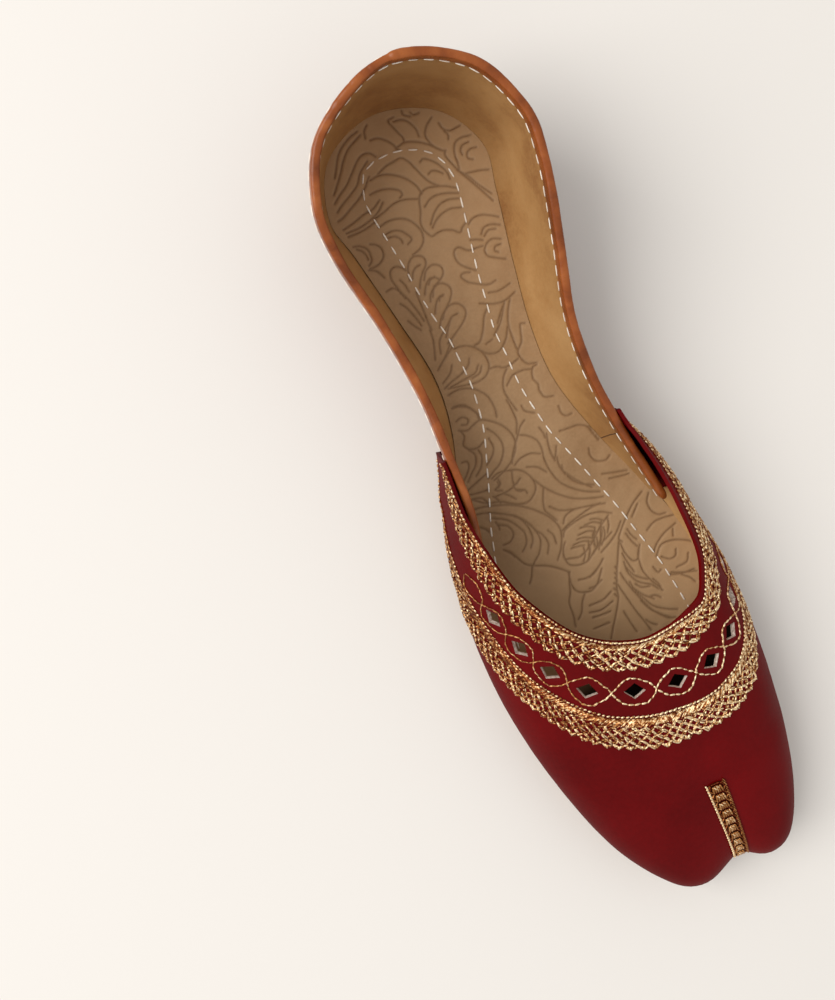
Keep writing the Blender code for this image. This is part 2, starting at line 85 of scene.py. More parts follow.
# The vamp from its inner wing round the toe to its outer wing:
# (feather row, lap, belly, along, across, height, fullness, slope)
vampRows = (
    (6.65, 0.4, 1.5, 0.072, 0.349, 0.868, 2.0, 0.9),
    (7.25, 0.4, 1.3, 0.022, 0.394, 0.895, 2.0, 0.9),
    (7.90, 0.3, 1.2, -0.033, 0.413, 0.900, 2.0, 0.8),
    (8.45, 0.2, 1.0, -0.078, 0.403, 0.913, 2.0, 0.7),
    (8.95, 0.0, 1.0, -0.113, 0.382, 0.926, 2.1, 0.6),
    (9.55, 0.0, 1.0, -0.136, 0.341, 0.942, 2.2, 0.5),
    (10.20, 0.0, 1.0, -0.153, 0.297, 0.951, 2.3, 0.4),
    (11.30, 0.0, 0.9, -0.161, 0.223, 0.974, 2.3, 0.3),
    (12.75, 0.0, 1.0, -0.166, 0.159, 0.987, 2.2, 0.3),
    (14.00, 0.0, 1.1, -0.167, 0.115, 0.995, 2.2, 0.3),
    (15.00, 0.0, 1.0, -0.167, 0.066, 1.000, 2.1, 0.3),
    (16.00, 0.0, 1.1, -0.164, 0.019, 1.000, 2.2, 0.3),
    (17.10, 0.0, 1.0, -0.158, -0.029, 1.000, 2.2, 0.3),
    (18.45, 0.0, 0.9, -0.149, -0.083, 1.000, 2.3, 0.3),
    (19.60, 0.0, 1.0, -0.135, -0.140, 1.000, 2.3, 0.4),
    (20.35, 0.0, 1.1, -0.117, -0.191, 0.992, 2.2, 0.4),
    (21.00, 0.0, 1.2, -0.090, -0.243, 0.970, 2.1, 0.5),
    (21.60, 0.2, 1.2, -0.052, -0.298, 0.932, 2.1, 0.6),
    (22.25, 0.3, 1.2, -0.006, -0.334, 0.903, 2.0, 0.7),
    (22.95, 0.4, 1.4, 0.041, -0.347, 0.882, 2.0, 0.8),
    (23.75, 0.4, 1.8, 0.105, -0.338, 0.855, 2.0, 0.9),
)
vampToeRow = 10

# The embroidered bands: (vamp row, start, end), measured down the leather from the throat edge
innerBandPath = (
    (0.0, 0.0030, 0.0090), (3.3, 0.0027, 0.0086), (4.3, 0.0019, 0.0080), (5.4, 0.0017, 0.0081),
    (6.3, 0.0022, 0.0087), (7.0, 0.0014, 0.0089), (7.8, 0.0004, 0.0090), (9.6, 0.0002, 0.0082),
    (11.3, 0.0002, 0.0085), (14.2, 0.0002, 0.0087), (16.2, 0.0001, 0.0088), (17.1, 0.0001, 0.0086),
    (20.0, 0.0001, 0.0084),
)
outerBandPath = (
    (0.0, 0.0190, 0.0270), (5.0, 0.0192, 0.0268), (5.6, 0.0201, 0.0274), (6.1, 0.0216, 0.0288),
    (6.5, 0.0234, 0.0312), (6.9, 0.0243, 0.0334), (8.0, 0.0247, 0.0340), (9.0, 0.0243, 0.0338),
    (10.3, 0.0234, 0.0337), (12.2, 0.0229, 0.0332), (12.9, 0.0225, 0.0324), (13.5, 0.0215, 0.0312),
    (14.0, 0.0207, 0.0296), (14.6, 0.0199, 0.0284), (15.4, 0.0194, 0.0284), (16.3, 0.0188, 0.0288),
    (17.0, 0.0183, 0.0285), (20.0, 0.0184, 0.0280),
)

# The diamond holes between the bands: (vamp row, distance from the throat edge)
holes = (
    (3.60, 0.0154), (4.47, 0.0156), (5.43, 0.0158), (6.40, 0.0166), (7.53, 0.0170), (9.51, 0.0158),
    (11.90, 0.0151), (13.51, 0.0158), (14.60, 0.0146), (15.60, 0.0144), (16.54, 0.0141),
)


def betweenRows(rows, positions, closed=False):
    # Smooth values between the rows of a table, one line of values for each position.
    rows = np.array(rows)
    positions = np.atleast_1d(np.asarray(positions, dtype=float))
    count = len(rows)
    start = np.floor(positions).astype(int)
    if closed:
        before, first, second, after = (rows[(start + k) % count] for k in (-1, 0, 1, 2))
    else:
        start = np.clip(start, 0, count - 2)
        longer = np.vstack((2 * rows[0] - rows[1], rows, 2 * rows[-1] - rows[-2]))
        before, first, second, after = (longer[start + k] for k in (0, 1, 2, 3))
    share = (positions - start)[:, None]
    bend = 2 * before - 5 * first + 4 * second - after
    twist = 3 * (first - second) + after - before
    return first + 0.5 * share * ((second - before) + share * (bend + share * twist))


def smoothStep(values):
    values = np.clip(values, 0.0, 1.0)
    return values * values * (3 - 2 * values)


def tableAt(table, values, column=1):
    # Values of one column of a table at places between its rows; the first column says where each row is.
    columns = np.array(table)
    return np.interp(values, columns[:, 0], columns[:, column])


def unit(vectors):
    return vectors / np.maximum(np.linalg.norm(vectors, axis=-1, keepdims=True), 1e-12)


def soleRise(y):
    # Height of the outsole's underside over the floor.
    along = np.asarray(y) / shoe["length"]
    spring = np.clip((shoe["ballFront"] - along) / (shoe["ballFront"] - shoe["toeEnd"]), 0.0, None)
    arch = smoothStep((along - shoe["ballBack"]) / (shoe["heelBreast"] - shoe["ballBack"]))
    return shoe["toeSpring"] * spring ** 2 + shoe["heelHeight"] * arch


def soleTop(y):
    return soleRise(y) + shoe["soleThickness"]


def feather(stations, outward=0.0):
    # Points of the feather line seen from above, moved outward, and their outward directions.
    scale = np.array((shoe["length"], shoe["ballWidth"]))
    here = betweenRows(featherRows, stations, closed=True) * scale
    near = 0.02
    ahead = betweenRows(featherRows, np.atleast_1d(stations) + near, closed=True)
    behind = betweenRows(featherRows, np.atleast_1d(stations) - near, closed=True)
    step = (ahead - behind) * scale
    normal = unit(np.stack((-step[:, 0], step[:, 1]), axis=1))
    point = np.stack((here[:, 1], here[:, 0]), axis=1)
    return point + normal * np.reshape(outward, (-1, 1)), normal


# How the quarter's wall bows between foot and top, as shares of its lean, its swell and its height
quarterBow = {"lowLean": 0.55, "highSwell": 0.5, "lowRise": 0.28, "highFall": 0.35}


def quarterSheet(rows, shares):
    # The quarter's outer face: share 0 at the feather line, 1 at the top edge under the binding.
    along, across, height, swell = betweenRows(collarRows, rows).T
    base, normal = feather(np.asarray(rows) - collarHeelRow)
    cover = shoe["bindingCover"]
    top = np.stack((across * shoe["ballWidth"], along * shoe["length"]), axis=1) - normal * cover
    footZ = soleTop(base[:, 1]) + shoe["clearance"]
    topZ = height * shoe["collarHeight"] - cover
    rise = topZ - footZ
    lean = np.sum((top - base) * normal, axis=1)
    swellOut = swell * shoe["bellyOverhang"]
    lower = base + normal * (quarterBow["lowLean"] * lean + swellOut)[:, None]
    upper = top + normal * (quarterBow["highSwell"] * swellOut)[:, None]
    handles = (
        np.column_stack((base, footZ)),
        np.column_stack((lower, footZ + quarterBow["lowRise"] * rise)),
        np.column_stack((upper, topZ - quarterBow["highFall"] * rise)),
        np.column_stack((top, topZ)),
    )
    shares = np.asarray(shares)
    weights = (
        (1 - shares) ** 3,
        3 * shares * (1 - shares) ** 2,
        3 * shares ** 2 * (1 - shares),
        shares ** 3,
    )
    return sum(handle[:, None, :] * weight[None, :, None] for weight, handle in zip(weights, handles))


# The vamp's sections: points down to the widest line and on to the foot, and the angle the lower part turns
vampForm = {"upperPoints": 61, "lowerPoints": 15, "lowerTurn": 62}


def vampSections(rows):
    # The vamp's outer face from the throat edge to the feather line, one chain of points for each row.
    station, lap, belly, along, across, height, fullness, slope = betweenRows(vampRows, rows).T
    foot, normal = feather(station, lap * shoe["wall"])
    widest = foot + normal * (belly * shoe["bellyOverhang"])[:, None]
    throat = np.stack((across * shoe["ballWidth"], along * shoe["length"]), axis=1)
    throatZ = height * shoe["throatHeight"]
    footZ = soleTop(foot[:, 1]) + shoe["clearance"]
    widestZ = footZ + shoe["bellyRise"]
    chains = []
    for angle in np.linspace(0, math.pi / 2, vampForm["upperPoints"]):
        out = math.sin(angle) ** (2 / fullness)
        fall = max(math.cos(angle), 0.0) ** (2 / fullness)
        level = slope * (1 - out) + (1 - slope) * fall
        plan = throat + (widest - throat) * out[:, None]
        chains.append(np.column_stack((plan, widestZ + (throatZ - widestZ) * level)))
    turn = math.radians(vampForm["lowerTurn"])
    for angle in np.linspace(0, turn, vampForm["lowerPoints"])[1:]:
        inward = (1 - math.cos(angle)) / (1 - math.cos(turn))
        drop = math.sin(angle) / math.sin(turn)
        plan = widest + (foot - widest) * inward
        chains.append(np.column_stack((plan, widestZ + (footZ - widestZ) * drop)))
    return np.stack(chains, axis=1)


def chainLengths(points):
    steps = np.linalg.norm(np.diff(points, axis=-2), axis=-1)
    zero = np.zeros(steps.shape[:-1] + (1,))
    return np.concatenate((zero, np.cumsum(steps, axis=-1)), axis=-1)


# The vamp's face worked out once, by row and by distance from the throat edge
vampTable = {
    "rowStep": 0.05,
    "distanceStep": 0.00025,
    "reach": 0.125,
    "nearRow": 0.06,           # the steps over which a direction is measured
    "nearDistance": 0.0005,
    "linePoints": 1201,
}


def makeVampTable():
    rows = np.arange(0, len(vampRows) - 1 + 1e-6, vampTable["rowStep"])
    chains = vampSections(rows)
    lengths = chainLengths(chains)
    distances = np.arange(0, vampTable["reach"], vampTable["distanceStep"])
    points = np.empty((len(rows), len(distances), 3))
    for i in range(len(rows)):
        for axis in range(3):
            points[i, :, axis] = np.interp(distances, lengths[i], chains[i, :, axis])
    vampTable["full"] = lengths[:, -1]
    vampTable["rows"] = rows
    vampTable["distances"] = distances
    vampTable["points"] = points


def vampAt(rows, distances):
    # Points of the smooth vamp face.
    table = vampTable["points"]
    i = np.clip(np.asarray(rows) / vampTable["rowStep"], 0, table.shape[0] - 1.001)
    j = np.clip(np.asarray(distances) / vampTable["distanceStep"], 0, table.shape[1] - 1.001)
    i0 = np.floor(i).astype(int)
    j0 = np.floor(j).astype(int)
    u = (i - i0)[..., None]
    v = (j - j0)[..., None]
    near = table[i0, j0] * (1 - u) + table[i0 + 1, j0] * u
    far = table[i0, j0 + 1] * (1 - u) + table[i0 + 1, j0 + 1] * u
    return near * (1 - v) + far * v


def vampFrame(rows, distances):
    # Directions on the vamp: sideways along the throat, down the leather, and outward.
    rows = np.asarray(rows, dtype=float)
    distances = np.asarray(distances, dtype=float)
    aside, below = vampTable["nearRow"], vampTable["nearDistance"]
    right = vampAt(np.minimum(rows + aside, len(vampRows) - 1), distances)
    side = right - vampAt(np.maximum(rows - aside, 0), distances)
    down = vampAt(rows, distances + below) - vampAt(rows, np.maximum(distances - below, 0))
    outward = unit(np.cross(side, down))
    return unit(side), unit(down), outward


def vampFull(rows):
    return np.interp(rows, vampTable["rows"], vampTable["full"])


def throatLine(distance):
    # Rows and lengths along the vamp at one distance from the throat; length 0 is the toe's centre line.
    rows = np.linspace(0, len(vampRows) - 1, vampTable["linePoints"])
    points = vampAt(rows, np.full(rows.shape, distance))
    lengths = chainLengths(points)
    return rows, lengths - np.interp(vampToeRow, rows, lengths)


makeVampTable()


def clearSelection():
    bpy.ops.object.select_all(action="DESELECT")


def selectOnly(piece):
    clearSelection()
    bpy.context.view_layer.objects.active = piece
    piece.select_set(True)


def faceOutwards(piece, triangles=False):
    # Faces of a closed piece are turned outwards, and if asked cut into triangles first.
    selectOnly(piece)
    bpy.ops.object.mode_set(mode="EDIT")
    bpy.ops.mesh.select_all(action="SELECT")
    if triangles:
        bpy.ops.mesh.quads_convert_to_tris()
    bpy.ops.mesh.normals_make_consistent(inside=False)
    bpy.ops.object.mode_set(mode="OBJECT")


def sheetFromPoints(name, points):
    # A primitive grid whose points are then placed; its front faces where (second x first) points.
    clearSelection()
    across, along = points.shape[0], points.shape[1]
    bpy.ops.mesh.primitive_grid_add(x_subdivisions=along - 1, y_subdivisions=across - 1, size=1.0)
    sheet = bpy.context.object
    sheet.name = name
    sheet.data.name = name
    if len(sheet.data.vertices) != across * along:
        raise SystemExit("grid of " + name + " has an unexpected number of points")
    sheet.data.vertices.foreach_set("co", points.reshape(-1).astype(np.float32))
    sheet.data.update()
    return sheet


def applyModifier(piece, kind, **settings):
    selectOnly(piece)
    modifier = piece.modifiers.new(kind.title(), kind)
    for key, value in settings.items():
        setattr(modifier, key, value)
    bpy.ops.object.modifier_apply(modifier=modifier.name)


def smoothShade(piece, degrees):
    selectOnly(piece)
    bpy.ops.object.shade_smooth_by_angle(angle=math.radians(degrees))
    clearSelection()


def finishPiece(piece, materials, nodes=()):
    for material in materials:
        piece.data.materials.append(material)
    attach(piece, "root")
    if nodes:
        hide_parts(*nodes)


def meshFromArrays(name, vertices, faces, values=None):
    mesh = bpy.data.meshes.new(name)
    mesh.from_pydata(vertices.tolist(), [], faces)
    for key, numbers in (values or {}).items():
        attribute = mesh.attributes.new(key, "FLOAT", "POINT")
        attribute.data.foreach_set("value", numbers.astype(np.float32))
    mesh.update()
    piece = bpy.data.objects.new(name, mesh)
    bpy.context.scene.collection.objects.link(piece)
    return piece


def makeThreadShape(sides, rings):
    # One short thread lying along X, a ball drawn out to blunt ends. It is repeated, so it has few faces.
    blunt = 0.55
    clearSelection()
    bpy.ops.mesh.primitive_uv_sphere_add(segments=sides, ring_count=rings, radius=0.5)
    shape = bpy.context.object
    bpy.ops.transform.rotate(value=math.pi / 2, orient_axis="Y", center_override=(0, 0, 0))
    bpy.ops.object.transform_apply(location=True, rotation=True, scale=True)
    corners = np.array([vertex.co for vertex in shape.data.vertices])
    corners[:, 0] = np.sign(corners[:, 0]) * 0.5 * np.abs(2 * corners[:, 0]) ** blunt
    faces = [tuple(face.vertices) for face in shape.data.polygons]
    bpy.data.objects.remove(shape, do_unlink=True)
    return corners, faces


def layCopies(name, shape, places, along, outward, sizes, tones):
    # Many copies of one small shape in one mesh, each with its own place, directions, size and tone.
    corners, faces = shape
    side = unit(np.cross(outward, along))
    outward = unit(np.cross(along, side))
    spread = (
        along[:, None, :] * (corners[None, :, 0:1] * sizes[:, None, 0:1])
        + side[:, None, :] * (corners[None, :, 1:2] * sizes[:, None, 1:2])
        + outward[:, None, :] * (corners[None, :, 2:3] * sizes[:, None, 2:3])
    )
    vertices = (places[:, None, :] + spread).reshape(-1, 3)
    count = len(corners)
    allFaces = []
    for index in range(len(places)):
        start = index * count
        allFaces.extend([tuple(start + corner for corner in face) for face in faces])
    return meshFromArrays(name, vertices, allFaces, {"tone": np.repeat(tones, count)})


class Value:
    # One output of a material's nodes; sums and products of values add Math nodes.
    def __init__(self, finish, socket):
        self.finish = finish
        self.socket = socket

    def maths(self, operation, first, second):
        return self.finish.add("ShaderNodeMath", {"operation": operation}, {0: first, 1: second})

    def __add__(self, other):
        return self.maths("ADD", self, other)

    def __radd__(self, other):
        return self.maths("ADD", other, self)

    def __mul__(self, other):
        return self.maths("MULTIPLY", self, other)

    def __rmul__(self, other):
        return self.maths("MULTIPLY", other, self)


class Finish:
    # A material and its nodes.
    def __init__(self, name, fixed):
        self.material = bpy.data.materials.new(name)
        self.material.use_nodes = True
        self.tree = self.material.node_tree
        self.shader = self.tree.nodes["Principled BSDF"]
        for key, value in fixed.items():
            self.shader.inputs[key].default_value = value

    def add(self, kind, settings=None, sockets=None, output=0):
        node = self.tree.nodes.new(kind)
        for key, value in (settings or {}).items():
            if key == "stops":
                ramp = node.color_ramp
                while len(ramp.elements) < len(value):
                    ramp.elements.new(0.5)
                for element, (position, colour) in zip(ramp.elements, value):
                    element.position = position
                    element.color = (*colour, 1.0)
            else:
                setattr(node, key, value)
        for key, value in (sockets or {}).items():
            if isinstance(value, Value):
                self.tree.links.new(value.socket, node.inputs[key])
            elif isinstance(value, tuple) and len(value) == 3 and node.inputs[key].type == "RGBA":
                node.inputs[key].default_value = (*value, 1.0)
            else:
                node.inputs[key].default_value = value
        return Value(self, node.outputs[output])

    def place(self, scale=(1.0, 1.0, 1.0)):
        # Object coordinates, stretched
        coordinates = self.add("ShaderNodeTexCoord", output=3)
        return self.add("ShaderNodeMapping", None, {0: coordinates, 3: scale})

    def noise(self, where, scale, detail=2.0, roughness=0.5, distortion=0.0):
        sockets = {"Vector": where, "Scale": scale, "Detail": detail, "Roughness": roughness,
                   "Distortion": distortion}
        return self.add("ShaderNodeTexNoise", None, sockets)

    def cells(self, where, scale):
        return self.add("ShaderNodeTexVoronoi", None, {"Vector": where, "Scale": scale})

    def attribute(self, name):
        return self.add("ShaderNodeAttribute", {"attribute_name": name}, output=2)

    def fit(self, value, low, high, newLow=0.0, newHigh=1.0):
        sockets = {0: value, 1: low, 2: high, 3: newLow, 4: newHigh}
        return self.add("ShaderNodeMapRange", {"clamp": True}, sockets)

    def mix(self, first, second, factor):
        return self.add("ShaderNodeMix", {"data_type": "RGBA"}, {0: factor, 6: first, 7: second}, output=2)

    def ramp(self, value, *stops):
        return self.add("ShaderNodeValToRGB", {"stops": stops}, {0: value})

    def surface(self, **sockets):
        for key, value in sockets.items():
            name = {"colour": "Base Color", "roughness": "Roughness", "metallic": "Metallic"}[key]
            self.tree.links.new(value.socket, self.shader.inputs[name])

    def bump(self, height, depth, strength=1.0):
        normal = self.add("ShaderNodeBump", None, {"Height": height, "Distance": depth, "Strength": strength})
        self.tree.links.new(normal.socket, self.shader.inputs["Normal"])


# Colours are linear. A scale is how often a pattern repeats in a metre, a depth is in metres.
maroon = {
    "deep": (0.082, 0.0010, 0.0015),
    "bright": (0.140, 0.0020, 0.0028),
    "roughness": (0.30, 0.44),
    "cloudScale": 28.0,
    "fineScale": 700.0,
    "grainScale": 1900.0,
    "grainDepth": 0.00007,
}


def makeMaroonLeather():
    gloss = {"Specular IOR Level": 0.0, "Coat Weight": 0.18, "Coat Roughness": 0.27}
    finish = Finish("maroonLeather", gloss)
    where = finish.place()
    cloud = finish.noise(where, maroon["cloudScale"], 3.0)
    pores = finish.cells(where, maroon["grainScale"])
    fine = finish.noise(where, maroon["fineScale"], 4.0, 0.6)
    tone = finish.fit(cloud * 0.75 + fine * 0.25, 0.35, 0.68)
    finish.surface(
        colour=finish.mix(maroon["deep"], maroon["bright"], tone),
        roughness=finish.fit(fine, 0.3, 0.7, *maroon["roughness"]),
    )
    finish.bump(pores * 0.7 + fine * 0.6, maroon["grainDepth"], 0.45)
    return finish.material


cutEdge = {"dark": (0.40, 0.30, 0.25), "light": (0.78, 0.68, 0.60), "scale": 1400.0, "depth": 0.00008}


def makeRawEdge():
    finish = Finish("rawEdge", {"Roughness": 0.8, "Specular IOR Level": 0.2})
    fibres = finish.noise(finish.place(), cutEdge["scale"], 3.0)
    finish.surface(colour=finish.mix(cutEdge["dark"], cutEdge["light"], finish.fit(fibres, 0.35, 0.65)))
    finish.bump(fibres, cutEdge["depth"], 0.6)
    return finish.material


lining = {
    "dark": (0.23, 0.088, 0.026),
    "mid": (0.42, 0.225, 0.082),
    "light": (0.54, 0.320, 0.135),
    "roughness": (0.50, 0.68),
    "patchScale": 34.0,
    "napScale": 900.0,
    "napDepth": 0.00010,
}


def makeLining():
    finish = Finish("liningLeather", {"Specular IOR Level": 0.25})
    where = finish.place()
    patches = finish.noise(where, lining["patchScale"], 4.0, 0.55)
    nap = finish.noise(where, lining["napScale"], 3.0, 0.65)
    stops = (0.30, lining["dark"]), (0.50, lining["mid"]), (0.72, lining["light"])
    finish.surface(
        colour=finish.ramp(patches * 0.8 + nap * 0.2, *stops),
        roughness=finish.fit(nap, 0.3, 0.7, *lining["roughness"]),
    )
    finish.bump(nap, lining["napDepth"], 0.5)
    return finish.material


tan = {
    "dark": (0.16, 0.036, 0.006),
    "mid": (0.26, 0.064, 0.012),
    "light": (0.36, 0.105, 0.024),
    "roughness": (0.26, 0.38),
    "streakScale": 95.0,
    "fineScale": 1300.0,
    "depth": 0.00012,
}


def makeTanLeather():
    gloss = {"Specular IOR Level": 0.25, "Coat Weight": 0.12, "Coat Roughness": 0.20}
    finish = Finish("tanLeather", gloss)
    streaks = finish.noise(finish.place((1.0, 1.0, 1.6)), tan["streakScale"], 4.0, 0.6, 0.4)
    fine = finish.noise(finish.place(), tan["fineScale"], 3.0)
    stops = (0.32, tan["dark"]), (0.50, tan["mid"]), (0.70, tan["light"])
    finish.surface(
        colour=finish.ramp(streaks, *stops),
        roughness=finish.fit(fine, 0.3, 0.7, *tan["roughness"]),
    )
    finish.bump(fine * 0.5 + streaks, tan["depth"], 0.5)
    return finish.material


gold = {
    "dark": (0.14, 0.026, 0.008),
    "mid": (0.52, 0.24, 0.075),
    "light": (1.0, 0.80, 0.50),
    "roughness": (0.24, 0.42),
    "fleckScale": 2600.0,
    # painted highlights on the threads repeat at this scale
    "paintedGlintScale": 1300.0,
    "depth": 0.00006,
    "contrast": 0.70,          # a smaller number makes dark threads darker and bright ones brighter
}


def makeGoldThread(name, darker=0.0, metal=0.95, paintedSparkle=0.2):
    finish = Finish(name, {"Metallic": metal})
    where = finish.place()
    tone = finish.attribute("tone")
    fleck = finish.noise(where, gold["fleckScale"], 2.0)
    # The glint noise paints highlights into the thread's colour: where it is high the thread turns cream,
    # where it is low dark brown.
    paintedGlint = finish.fit(finish.noise(where, gold["paintedGlintScale"], 2.0, 0.6), 0.38, 0.62)
    low = 0.10 + 0.5 * paintedSparkle + darker
    # tone is each thread's random tone plus the light and shade painted round the shoe
    value = finish.fit(tone * 0.8 + fleck * 0.2 + paintedGlint * paintedSparkle, low, low + gold["contrast"])
    finish.surface(
        colour=finish.ramp(value, (0.0, gold["dark"]), (0.5, gold["mid"]), (1.0, gold["light"])),
        roughness=finish.fit(fleck, 0.3, 0.7, *gold["roughness"]),
    )
    finish.bump(fleck, gold["depth"], 0.6)
    return finish.material


sewingThreads = {
    "white": ((0.62, 0.50, 0.40), (0.92, 0.86, 0.76)),
    "whiteScale": 3200.0,
    "whiteDepth": 0.00008,
    "dark": ((0.030, 0.012, 0.006), (0.075, 0.030, 0.013)),
    "darkScale": 2400.0,
}


def makeWhiteThread():
    finish = Finish("whiteThread", {"Roughness": 0.55})
    twist = finish.noise(finish.place(), sewingThreads["whiteScale"], 2.0)
    value = finish.fit(twist * 0.4 + finish.attribute("tone") * 0.6, 0.2, 0.8)
    finish.surface(colour=finish.mix(*sewingThreads["white"], value))
    finish.bump(twist, sewingThreads["whiteDepth"], 0.5)
    return finish.material


def makeDarkThread():
    finish = Finish("darkThread", {"Roughness": 0.7})
    fibres = finish.noise(finish.place(), sewingThreads["darkScale"], 2.0)
    finish.surface(colour=finish.mix(*sewingThreads["dark"], fibres))
    return finish.material


insoleColours = {
    "low": (0.135, 0.068, 0.028),
    "mid": (0.305, 0.180, 0.086),
    "light": (0.415, 0.260, 0.135),
    # the pale colour below is painted light for the ball and the heel, the one after it painted shade for the
    # closed toe
    "paintedLightColour": (0.500, 0.315, 0.165),
    "paintedToeShade": (0.012, 0.007, 0.004),
    "roughness": (0.46, 0.62),
    "patchScale": 42.0,
    "fineScale": 1100.0,
    "fineDepth": 0.00008,
}

# Stretches of the insole along Y: painted light pales it towards the ball and towards the heel, and painted
# shade darkens it in the closed toe
insolePaintedLightAndShade = {
    "from": -0.052,
    "to": -0.061,
    "paleFrom": -0.004,
    "paleTo": -0.046,
    "heelFrom": 0.055,
    "heelTo": 0.105,
}


def makeInsoleLeather():
    finish = Finish("insoleLeather", {"Specular IOR Level": 0.25})
    where = finish.place()
    patches = finish.noise(where, insoleColours["patchScale"], 4.0, 0.6)
    fine = finish.noise(where, insoleColours["fineScale"], 3.0, 0.6)
    tone = finish.fit(patches * 0.7 + fine * 0.3, 0.35, 0.68)
    face = finish.mix(insoleColours["mid"], insoleColours["light"], tone)
    # Painted light pales the insole towards the ball and the heel, and painted shade darkens it to near black
    # in the closed toe.
    length = finish.add("ShaderNodeSeparateXYZ", None, {0: where}, output=1)
    ball = finish.fit(length, insolePaintedLightAndShade["paleFrom"], insolePaintedLightAndShade["paleTo"], 0.0, 1.0)
    heel = finish.fit(length, insolePaintedLightAndShade["heelFrom"], insolePaintedLightAndShade["heelTo"], 0.0, 0.55)
    shade = finish.fit(length, insolePaintedLightAndShade["to"], insolePaintedLightAndShade["from"], 1.0, 0.0)
    face = finish.mix(face, insoleColours["paintedLightColour"], ball)
    face = finish.mix(face, insoleColours["paintedLightColour"], heel)
    embossed = finish.mix(face, insoleColours["low"], finish.attribute("groove") * 0.72)
    finish.surface(
        colour=finish.mix(embossed, insoleColours["paintedToeShade"], shade),
        roughness=finish.fit(fine, 0.3, 0.7, *insoleColours["roughness"]),
    )
    finish.bump(fine, insoleColours["fineDepth"], 0.5)
    return finish.material


soleLeathers = {
    "outsole": ((0.22, 0.115, 0.05), (0.40, 0.24, 0.12)),
    "heel": ((0.13, 0.062, 0.028), (0.27, 0.145, 0.068)),
    "layerScale": 180.0,
    "fineScale": 800.0,
    "depth": 0.00014,
}


def makeSoleLeather(name, dark, light):
    finish = Finish(name, {"Specular IOR Level": 0.3})
    layers = finish.noise(finish.place((1.0, 1.0, 9.0)), soleLeathers["layerScale"], 3.0)
    fine = finish.noise(finish.place(), soleLeathers["fineScale"], 4.0, 0.65)
    finish.surface(
        colour=finish.mix(dark, light, finish.fit(layers * 0.6 + fine * 0.4, 0.32, 0.68)),
        roughness=finish.fit(fine, 0.3, 0.7, 0.50, 0.70),
    )
    finish.bump(fine * 0.6 + layers, soleLeathers["depth"], 0.6)
    return finish.material


maroonLeather = makeMaroonLeather()
rawEdge = makeRawEdge()
liningLeather = makeLining()
tanLeather = makeTanLeather()
# the bands' gold thread has the strongest painted highlights
goldThread = makeGoldThread("goldThread", paintedSparkle=0.7)
brownGoldThread = makeGoldThread("brownGoldThread", darker=0.12)
cordThread = makeGoldThread("cordThread", darker=-0.06, metal=0.75)
whiteThread = makeWhiteThread()
darkThread = makeDarkThread()
insoleLeather = makeInsoleLeather()
outsoleLeather = makeSoleLeather("outsoleLeather", *soleLeathers["outsole"])
heelLeather = makeSoleLeather("heelLeather", *soleLeathers["heel"])
print("materials made")


vamp = {
    "leather": 0.00105,
    "lining": 0.00040,
    "edgeRound": 0.00038,
    "turnedInner": 0.0013,     # width of the folded edge round the throat, on the inner side
    "turnedFront": 0.0006,
    "turnedRise": 0.00020,
    "foldGroove": 0.00012,     # the groove beside the folded edge
    "foldGrooveWidth": 0.0004,
    "liningStart": 0.0045,     # how far below the edge the lining begins
    "liningShort": 0.0012,     # how far above the foot it ends
    "liningGap": 0.00004,
    "liningRows": (2.3, 17.4),
    "liningRings": 44,
    "holeLength": 0.0064,
    "holeWidth": 0.0048,
    "cutDepth": 0.008,
    "lipDepth": 0.00030,       # the leather dips towards each cut
    "lipSpread": 0.30,
    "rowCount": 300,
    "ringCount": 64,
    "ringBias": 1.15,          # above 1 the rings stand closer at the throat edge
    "puckerDepth": 0.00005,    # faint puckers between the bands
    "puckerAt": 0.022,
    "puckerSpread": 0.012,
    "pleatDepth": 0.00022,     # pleats where the toe is drawn over the sole
    "pleatReach": 0.012,
    "pleatRows": 3.2,
    "creaseWander": 0.0012,    # how far a crease strays from a straight line
    "middleLine": 0.0168,      # lengths between the bands are measured this far from the throat edge
    "spacingLine": 0.020,
}

# Soft creases of the vamp: (row, distance, turn in degrees, length, width, depth)
vampCreases = (
    (3.1, 0.030, 62, 0.020, 0.0030, 0.00030),
    (4.3, 0.036, 50, 0.024, 0.0034, 0.00026),
    (17.2, 0.031, -58, 0.022, 0.0032, 0.00030),
    (16.2, 0.037, -46, 0.022, 0.0034, 0.00026),
    (1.2, 0.018, 78, 0.016, 0.0030, 0.00025),
    (18.9, 0.019, -74, 0.018, 0.0032, 0.00028),
    (7.6, 0.048, 12, 0.018, 0.0040, 0.00020),
    (12.6, 0.047, -14, 0.020, 0.0040, 0.00022),
)


middleRows, middleLengths = throatLine(vamp["middleLine"])
holeSideways = [float(np.interp(row, middleRows, middleLengths)) for row, _ in holes]


# The wings' edges are drawn in towards the foot: (vamp row, pull), and its share by distance from the edge
wingPull = (
    (0.0, 0.00120), (0.5, 0.00230), (1.0, 0.00290), (2.0, 0.00275), (2.5, 0.00255), (3.0, 0.00205),
    (4.0, 0.00140), (5.0, 0.00070), (6.0, 0.0), (16.8, 0.0), (17.5, 0.00070), (18.0, 0.00100),
    (18.5, 0.00080), (19.0, 0.00060), (19.5, 0.00085), (20.0, 0.00125),
)
pullShares = (
    (0.0, 1.0), (0.002, 0.62), (0.004, 0.26), (0.006, 0.0), (0.009, -0.22), (0.013, -0.20), (0.022, 0.0),
)
# The wings' very ends lie against the quarter
endPull = {"depth": 0.0014, "rows": 1.3}
endPullShares = ((0.0, 0.0), (0.002, 0.40), (0.005, 1.0), (0.025, 1.0), (0.040, 0.40))


